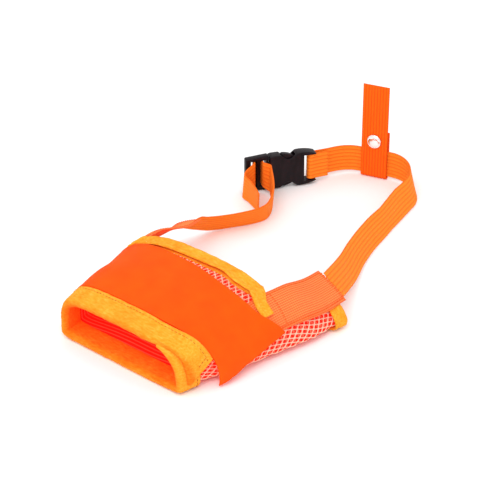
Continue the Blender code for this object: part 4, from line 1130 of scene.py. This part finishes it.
def snap_profiles():
    """Closed profiles of the cap, socket, stud and post. The cap and the stud keep a hair-fine bore."""
    outside, inside = TAB_HALF_GAP + WEB_THICKNESS / 2, TAB_HALF_GAP - WEB_THICKNESS / 2
    bore, foot, end = SNAP_AXIS_BORE, outside + SNAP_GAP, inside - SNAP_GAP
    dome_foot, dome = foot + SNAP_RIM, SNAP_CAP_HEIGHT * SNAP_DOME_SHARE
    cap = rolled(SNAP_CAP_RADIUS, foot, foot + 2 * SNAP_RIM, SNAP_RIM)
    for turn in np.radians(np.linspace(16.0, 88.0, 14)):
        cap.append(((SNAP_CAP_RADIUS - SNAP_RIM) * math.cos(turn), dome_foot + dome * math.sin(turn)))
    cap += [(bore, dome_foot + dome), (bore, end), (SNAP_SHANK_RADIUS, end), (SNAP_SHANK_RADIUS, foot)]
    socket_foot = end - SNAP_SOCKET_HEIGHT
    socket = rolled(SNAP_SOCKET_RADIUS, socket_foot, end, SNAP_EDGE)
    socket += [(SNAP_SOCKET_BORE, end), (SNAP_SOCKET_BORE, socket_foot)]
    plate, nub_foot = -end, SNAP_PLATE - end
    stud = rolled(SNAP_STUD_RADIUS, plate, nub_foot, SNAP_PLATE / 2)
    stud += rolled(SNAP_NUB_RADIUS, nub_foot, nub_foot + SNAP_NUB_HEIGHT, SNAP_NUB_EDGE)
    stud += [(bore, nub_foot + SNAP_NUB_HEIGHT), (bore, plate)]
    head, shank_end = -foot, -inside
    post = rolled(SNAP_POST_RADIUS, head - SNAP_POST_HEIGHT, head, SNAP_EDGE)
    post += [(SNAP_SHANK_RADIUS, head), (SNAP_SHANK_RADIUS, shank_end), (SNAP_POST_HOLE, shank_end)]
    post += [(SNAP_POST_HOLE, head - SNAP_POST_HEIGHT)]
    return {"snap_cap": cap, "snap_socket": socket, "snap_stud": stud, "snap_post": post}


# Buckle


def slab(name, outline, half_thickness, round_off, surface):
    """A plate cut to an outline of (s, up) points in the buckle's plane. round_off rounds its edges."""
    points = np.array([buckle_point(s, -half_thickness, up) for s, up in outline])
    thing = mesh_object(name, points, [tuple(range(len(points)))], [surface])
    shape = bmesh.new()
    shape.from_mesh(thing.data)
    grown = bmesh.ops.extrude_face_region(shape, geom=shape.faces[:])
    moved = [item for item in grown["geom"] if isinstance(item, bmesh.types.BMVert)]
    bmesh.ops.translate(shape, verts=moved, vec=Vector(BUCKLE_FACE * 2 * half_thickness))
    bmesh.ops.recalc_face_normals(shape, faces=shape.faces)
    shape.to_mesh(thing.data)
    shape.free()
    if round_off:
        bevel = thing.modifiers.new("rounded edges", "BEVEL")
        bevel.width = round_off
        bevel.segments = 3
        bevel.limit_method = "ANGLE"
        bevel.angle_limit = math.radians(40.0)
    return thing


def block(name, s_range, half_face, up_range, surface):
    (start, end), (low, high) = s_range, up_range
    return slab(name, [(start, low), (end, low), (end, high), (start, high)], half_face, 0.0, surface)


def combine(thing, others, operation):
    for other in others:
        step = thing.modifiers.new(other.name, "BOOLEAN")
        step.operation = operation
        step.object = other
        step.solver = "EXACT"


def settle(thing, cutters):
    """Apply thing's modifiers, shade its curves smooth and its edges sharp, and take the cutters away."""
    shape = bpy.data.meshes.new_from_object(thing.evaluated_get(bpy.context.evaluated_depsgraph_get()))
    thing.modifiers.clear()
    thing.data = shape
    shape.shade_smooth()
    shape.set_sharp_from_angle(angle=math.radians(35.0))
    for cutter in cutters:
        bpy.data.objects.remove(cutter)
    return thing


def female_outline():
    """Upper half of the body's outline: mouth block, concave waist, housing block and tapering ear."""
    runs = np.linspace(MOUTH_S, EAR_S, 60)
    dip = np.clip((runs - (WINDOW_S - WAIST_MARGIN)) / (LEDGE_S - WINDOW_S + 2 * WAIST_MARGIN), 0.0, 1.0)
    waist = (BUCKLE_HALF_WIDTH - WAIST_HALF_WIDTH) * np.sin(dip * math.pi) ** WAIST_POWER
    mouth = MOUTH_DRAW * smoothstep((runs - MOUTH_S + MOUTH_RUN) / MOUTH_RUN)
    swell = HOUSING_SWELL * smoothstep((WINDOW_S - runs) / SWELL_RUN)
    ear_start = HOUSING_S + EAR_RUN
    taper = EAR_DRAW * np.clip((ear_start - runs) / (ear_start - EAR_S), 0.0, 1.0) ** 2
    return list(zip(runs, BUCKLE_HALF_WIDTH - waist - mouth + swell - taper))


def make_female(surface):
    upper = female_outline()
    outline = upper + [(s, -up) for s, up in reversed(upper)]
    female = slab("buckle_female_body", outline, BUCKLE_HALF_THICKNESS, BUCKLE_ROUND, surface)
    cavity = (CAVITY_END_S, MOUTH_S + CUT_MARGIN)
    windows = both(BUCKLE_HALF_WIDTH + 2 * CUT_MARGIN)
    slot_half = BUCKLE_HALF_WIDTH - EAR_WIDTH
    cutters = [
        block("cavity", cavity, CAVITY_HALF_FACE, both(CAVITY_HALF_WIDTH), surface),
        block("windows", (WINDOW_S, LEDGE_S), CAVITY_HALF_FACE - WINDOW_STEP, windows, surface),
        block("slot", (EAR_S - CUT_DEPTH, HOUSING_S), CUT_DEPTH, both(slot_half), surface),
    ]
    combine(female, cutters, "DIFFERENCE")
    bar = turned_bar("bar", BAR_S, slot_half + EAR_WIDTH / 2, surface)
    combine(female, [bar], "UNION")
    return settle(female, cutters + [bar])


def turned_bar(name, s, half_length, surface):
    turns = np.linspace(0.0, math.tau, 32, endpoint=False)
    outline = [(math.cos(turn), math.sin(turn)) for turn in turns]
    points = [
        buckle_point(s + BAR_RADIUS * along, BAR_RADIUS * face, up)
        for up in both(half_length) for along, face in outline
    ]
    count = len(turns)
    sides = [(turn, (turn + 1) % count, count + (turn + 1) % count, count + turn) for turn in range(count)]
    ends = [tuple(range(count - 1, -1, -1)), tuple(range(count, 2 * count))]
    return mesh_object(name, np.array(points), sides + ends, [surface])


def make_male(surface):
    """The frame that holds the strap, with two slots, the bar between them and the guide tongue."""
    half, end_half = FRAME_HALF_WIDTH, FRAME_HALF_WIDTH - FRAME_TAPER
    outline = [(FRAME_END_S, end_half), (FRAME_S, half), (FRAME_S, -half), (FRAME_END_S, -end_half)]
    male = slab("buckle_male_frame", outline, FRAME_HALF_THICKNESS, EDGE_ROUND, surface)
    cutters = []
    for name, s in (("inner_slot", INNER_SLOT_S), ("outer_slot", OUTER_SLOT_S)):
        reach = (s - SLOT_LENGTH / 2, s + SLOT_LENGTH / 2)
        cutters.append(block(name, reach, CUT_DEPTH, both(SLOT_HALF_HEIGHT), surface))
    combine(male, cutters, "DIFFERENCE")
    reach = (TONGUE_S, FRAME_S + TONGUE_ROOT)
    tongue = block("tongue", reach, TONGUE_HALF_THICKNESS, both(TONGUE_HALF_WIDTH), surface)
    combine(male, [tongue], "UNION")
    return settle(male, cutters + [tongue])


def make_prong(name, side, surface):
    """A springy arm with a rounded hook that shows in the buckle's waist."""
    hook_s = LEDGE_S - PRONG_GAP
    outline = [(PRONG_ROOT_S, PRONG_INSIDE), (PRONG_ROOT_S, PRONG_OUTSIDE), (hook_s, PRONG_OUTSIDE)]
    for share in np.linspace(0.0, 1.0, 12):
        up = mix(PRONG_HOOK, PRONG_OUTSIDE - PRONG_TIP_OUTSIDE, share**PRONG_CURVE)
        outline.append((mix(hook_s, PRONG_TIP_S, share), up))
    outline += [(PRONG_TIP_S, PRONG_INSIDE + PRONG_TIP_INSIDE), (LEDGE_S, PRONG_INSIDE)]
    outline = [(s, side * up) for s, up in outline]
    return settle(slab(name, outline, PRONG_HALF_THICKNESS, PRONG_ROUND, surface), [])


# Stage


def add_object(name, data):
    thing = bpy.data.objects.new(name, data)
    bpy.context.scene.collection.objects.link(thing)
    return thing


def make_stage():
    floor = bpy.data.meshes.new("floor")
    corners = [(x * TABLE_HALF_SIZE, y * TABLE_HALF_SIZE, 0) for x, y in ((-1, -1), (1, -1), (1, 1), (-1, 1))]
    floor.from_pydata(corners, [], [(0, 1, 2, 3)])
    floor.materials.append(Nodes("white_table", (0.93, 0.93, 0.93), 0.9).material)
    add_object("floor", floor)


def make_light():
    data = bpy.data.lights.new("key", "AREA")
    data.energy = LAMP_WATTS
    data.size = LAMP_SIZE
    lamp = add_object("key", data)
    lamp.location = LAMP_PLACE
    lamp.rotation_euler = LAMP_PLACE.to_track_quat("Z", "Y").to_euler()


def make_camera():
    azimuth, elevation = math.radians(CAMERA_AZIMUTH), math.radians(CAMERA_ELEVATION)
    level = math.cos(elevation)
    back = Vector((math.sin(azimuth) * level, -math.cos(azimuth) * level, math.sin(elevation)))
    data = bpy.data.cameras.new("camera")
    data.lens = CAMERA_LENS
    data.clip_start = 0.01
    camera = add_object("camera", data)
    camera.location = CAMERA_TARGET + back * CAMERA_DISTANCE
    camera.rotation_euler = back.to_track_quat("Z", "Y").to_euler()
    bpy.context.scene.camera = camera


def make_world():
    world = bpy.data.worlds.new("studio")
    world.use_nodes = True
    background = world.node_tree.nodes["Background"]
    background.inputs["Color"].default_value = (*WHITE, 1.0)
    background.inputs["Strength"].default_value = 1.0
    bpy.context.scene.world = world
    bpy.context.scene.view_settings.view_transform = "Standard"


# The muzzle's pieces, in place of their CAD nodes. Those kept go on their body; those passed to bend stay in
# the world frame.


def keep(piece, body, slot, *nodes):
    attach(piece, body)
    if nodes:
        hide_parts(*nodes)


def bend(piece, bodies, slot, start, end, *nodes):
    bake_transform(piece)
    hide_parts(*nodes)


fleece = fleece_material("amber_fleece", ALL_LIGHT)
# The front binding's fold and inner leg, inside the sleeve, get painted shade.
front_fleece = fleece_material("fleece_with_painted_shade", FRONT_BINDING_WIDTH / MM)
cover = cover_material("orange_cover_cloth", (0.97, 0.098, 0.001), 0.0)
# Painted shade: the band's underside is a red copy of the cover cloth, with a painted glow.
cover_painted_shade = cover_material("cover_underside_painted_shade", (0.95, 0.012, 0.004), INNER_GLOW)
patch_cloth = webbing_material(
    "orange_elastic", (1.0, 0.30, 0.08), (0.72, 0.03, 0.002), PATCH_RIB_PITCH / MM,
    rib_start=0.7, cross_pitch=1.5, cross_depth=0.35, hem=2.4,
)
web_cloth = webbing_material(
    "orange_webbing", (1.0, 0.285, 0.020), (0.90, 0.120, 0.004), RIB_PITCH / MM, rib_start=0.2
)
tab_cloth = webbing_material(
    "deep_orange_webbing", (1.0, 0.150, 0.003), (0.85, 0.055, 0.001), TAB_RIB_PITCH / MM, rib_start=0.1
)
net_outside = strand_material("peach_strands", (1.0, 0.62, 0.46), (1.0, 0.48, 0.33), 0.0)
# Painted shade: the net's inner faces are a coral-red copy of the peach strands, with a painted glow.
net_painted_shade = strand_material("strands_painted_inner_shade", (1.0, 0.16, 0.09), (0.95, 0.07, 0.03), INNER_GLOW)
lining = lining_material()
thread = thread_material("orange_thread", (0.95, 0.15, 0.01), (0.7, 0.06, 0.003))
brown_thread = thread_material("brown_thread", (0.55, 0.16, 0.01), (0.35, 0.07, 0.005))

keep(make_net(net_outside, net_painted_shade), "sleeve", "mesh", "mesh_sleeve")
keep(make_lining(lining), "sleeve", "mesh", "mesh_sleeve")
front = front_binding_grid()
front_piece = make_fleece("front_binding_fleece", front, front_fleece, seed=3)
keep(front_piece, "sleeve", "fleece", "front_binding")
band = make_band(cover, cover_painted_shade)
keep(band, "sleeve", "cover_cloth", "cover_band")
left_patch, right_patch = patch_grid(mirrored=False), patch_grid(mirrored=True)
keep(make_patch("patch_left_elastic", left_patch, patch_cloth), "sleeve", "elastic", "patch_left")
keep(make_patch("patch_right_elastic", right_patch, patch_cloth), "sleeve", "elastic", "patch_right")
sunk = groove(fold_section(REAR_BINDING_WIDTH))
rear = make_fleece("rear_binding_fleece", rear_binding_grid(), fleece, seed=21, relief=sunk)
keep(rear, "sleeve", "fleece", "rear_binding")
bridge_grid, layers = bridge_binding_grid()
bridge = make_fleece("bridge_binding_fleece", bridge_grid, fleece, seed=31, thickness=layers, relief=sunk)
keep(bridge, "sleeve", "fleece", "bridge_binding")
first, last = FLEECE_SEAM_COLUMNS
long_seam = seam(front, FLEECE_THICKNESS, column=first)
end_seam = [part[first:last] for part in seam(front, FLEECE_THICKNESS, row=FLEECE_SEAM_ROW)]
stitches = make_stitches("front_binding_stitches", [long_seam, end_seam], brown_thread)
keep(stitches, "sleeve", "fleece")
sides = box_seams(left_patch) + box_seams(right_patch)
keep(make_stitches("patch_stitches", sides, thread, FINE_STITCH_PITCH), "sleeve", "elastic")

line, widths = left_strap()
left = webbing("neck_strap_left_web", line, widths, web_cloth)
fold_seams = [strap_seam(line, widths, row) for row in FOLD_SEAM_ROWS]
keep(make_stitches("fold_stitches", fold_seams, thread, FINE_STITCH_PITCH), "neck_loop", "webbing")
bend(left, ("sleeve", "neck_loop"), "webbing", *ROOT_LEFT_BEND, "strap_root_left", "neck_strap_left")
line, widths, loop_line, loop_widths = adjuster_loop()
right = webbing("neck_strap_right_web", line, widths, web_cloth, cut_ends=(True, False))
bend(right, ("sleeve", "neck_loop"), "webbing", *ROOT_RIGHT_BEND, "strap_root_right", "neck_strap_right")
loop = webbing("adjuster_loop_web", loop_line, loop_widths, web_cloth, cut_ends=(False, False))
loop_bend = (loop_line[0], loop_line[ADJUSTER_BEND_ROWS])
bend(loop, ("neck_loop", "male_half"), "webbing", *loop_bend, "adjuster_loop")
tail = webbing("strap_tail_web", *strap_tail(), web_cloth, cut_ends=(False, True))
keep(tail, "male_half", "webbing", "adjuster_loop")
tab, flap = make_tab(tab_cloth)
keep(tab, "tab", "tab_webbing", "tab_loop")
flap_bend = [tab_point(-TAB_HALF_GAP, z) for z in (TAB_BEND_Z, TAB_BEND_Z + TAB_BEND_LENGTH)]
bend(flap, ("tab", "tab_flap"), "tab_webbing", *flap_bend, "tab_back")
plastic = plastic_material()
keep(make_female(plastic), "neck_loop", "plastic", "buckle_female")
keep(make_male(plastic), "male_half", "plastic", "buckle_male")
keep(make_prong("prong_upper_arm", 1, plastic), "upper_prong", "plastic", "prong_upper")
keep(make_prong("prong_lower_arm", -1, plastic), "lower_prong", "plastic", "prong_lower")
steel = steel_material()
for node, profile in snap_profiles().items():
    body = "tab" if node in ("snap_cap", "snap_socket") else "tab_flap"
    keep(turned(node + "_metal", profile, steel), body, "snap_metal", node)

make_world()
make_stage()
make_light()
make_camera()
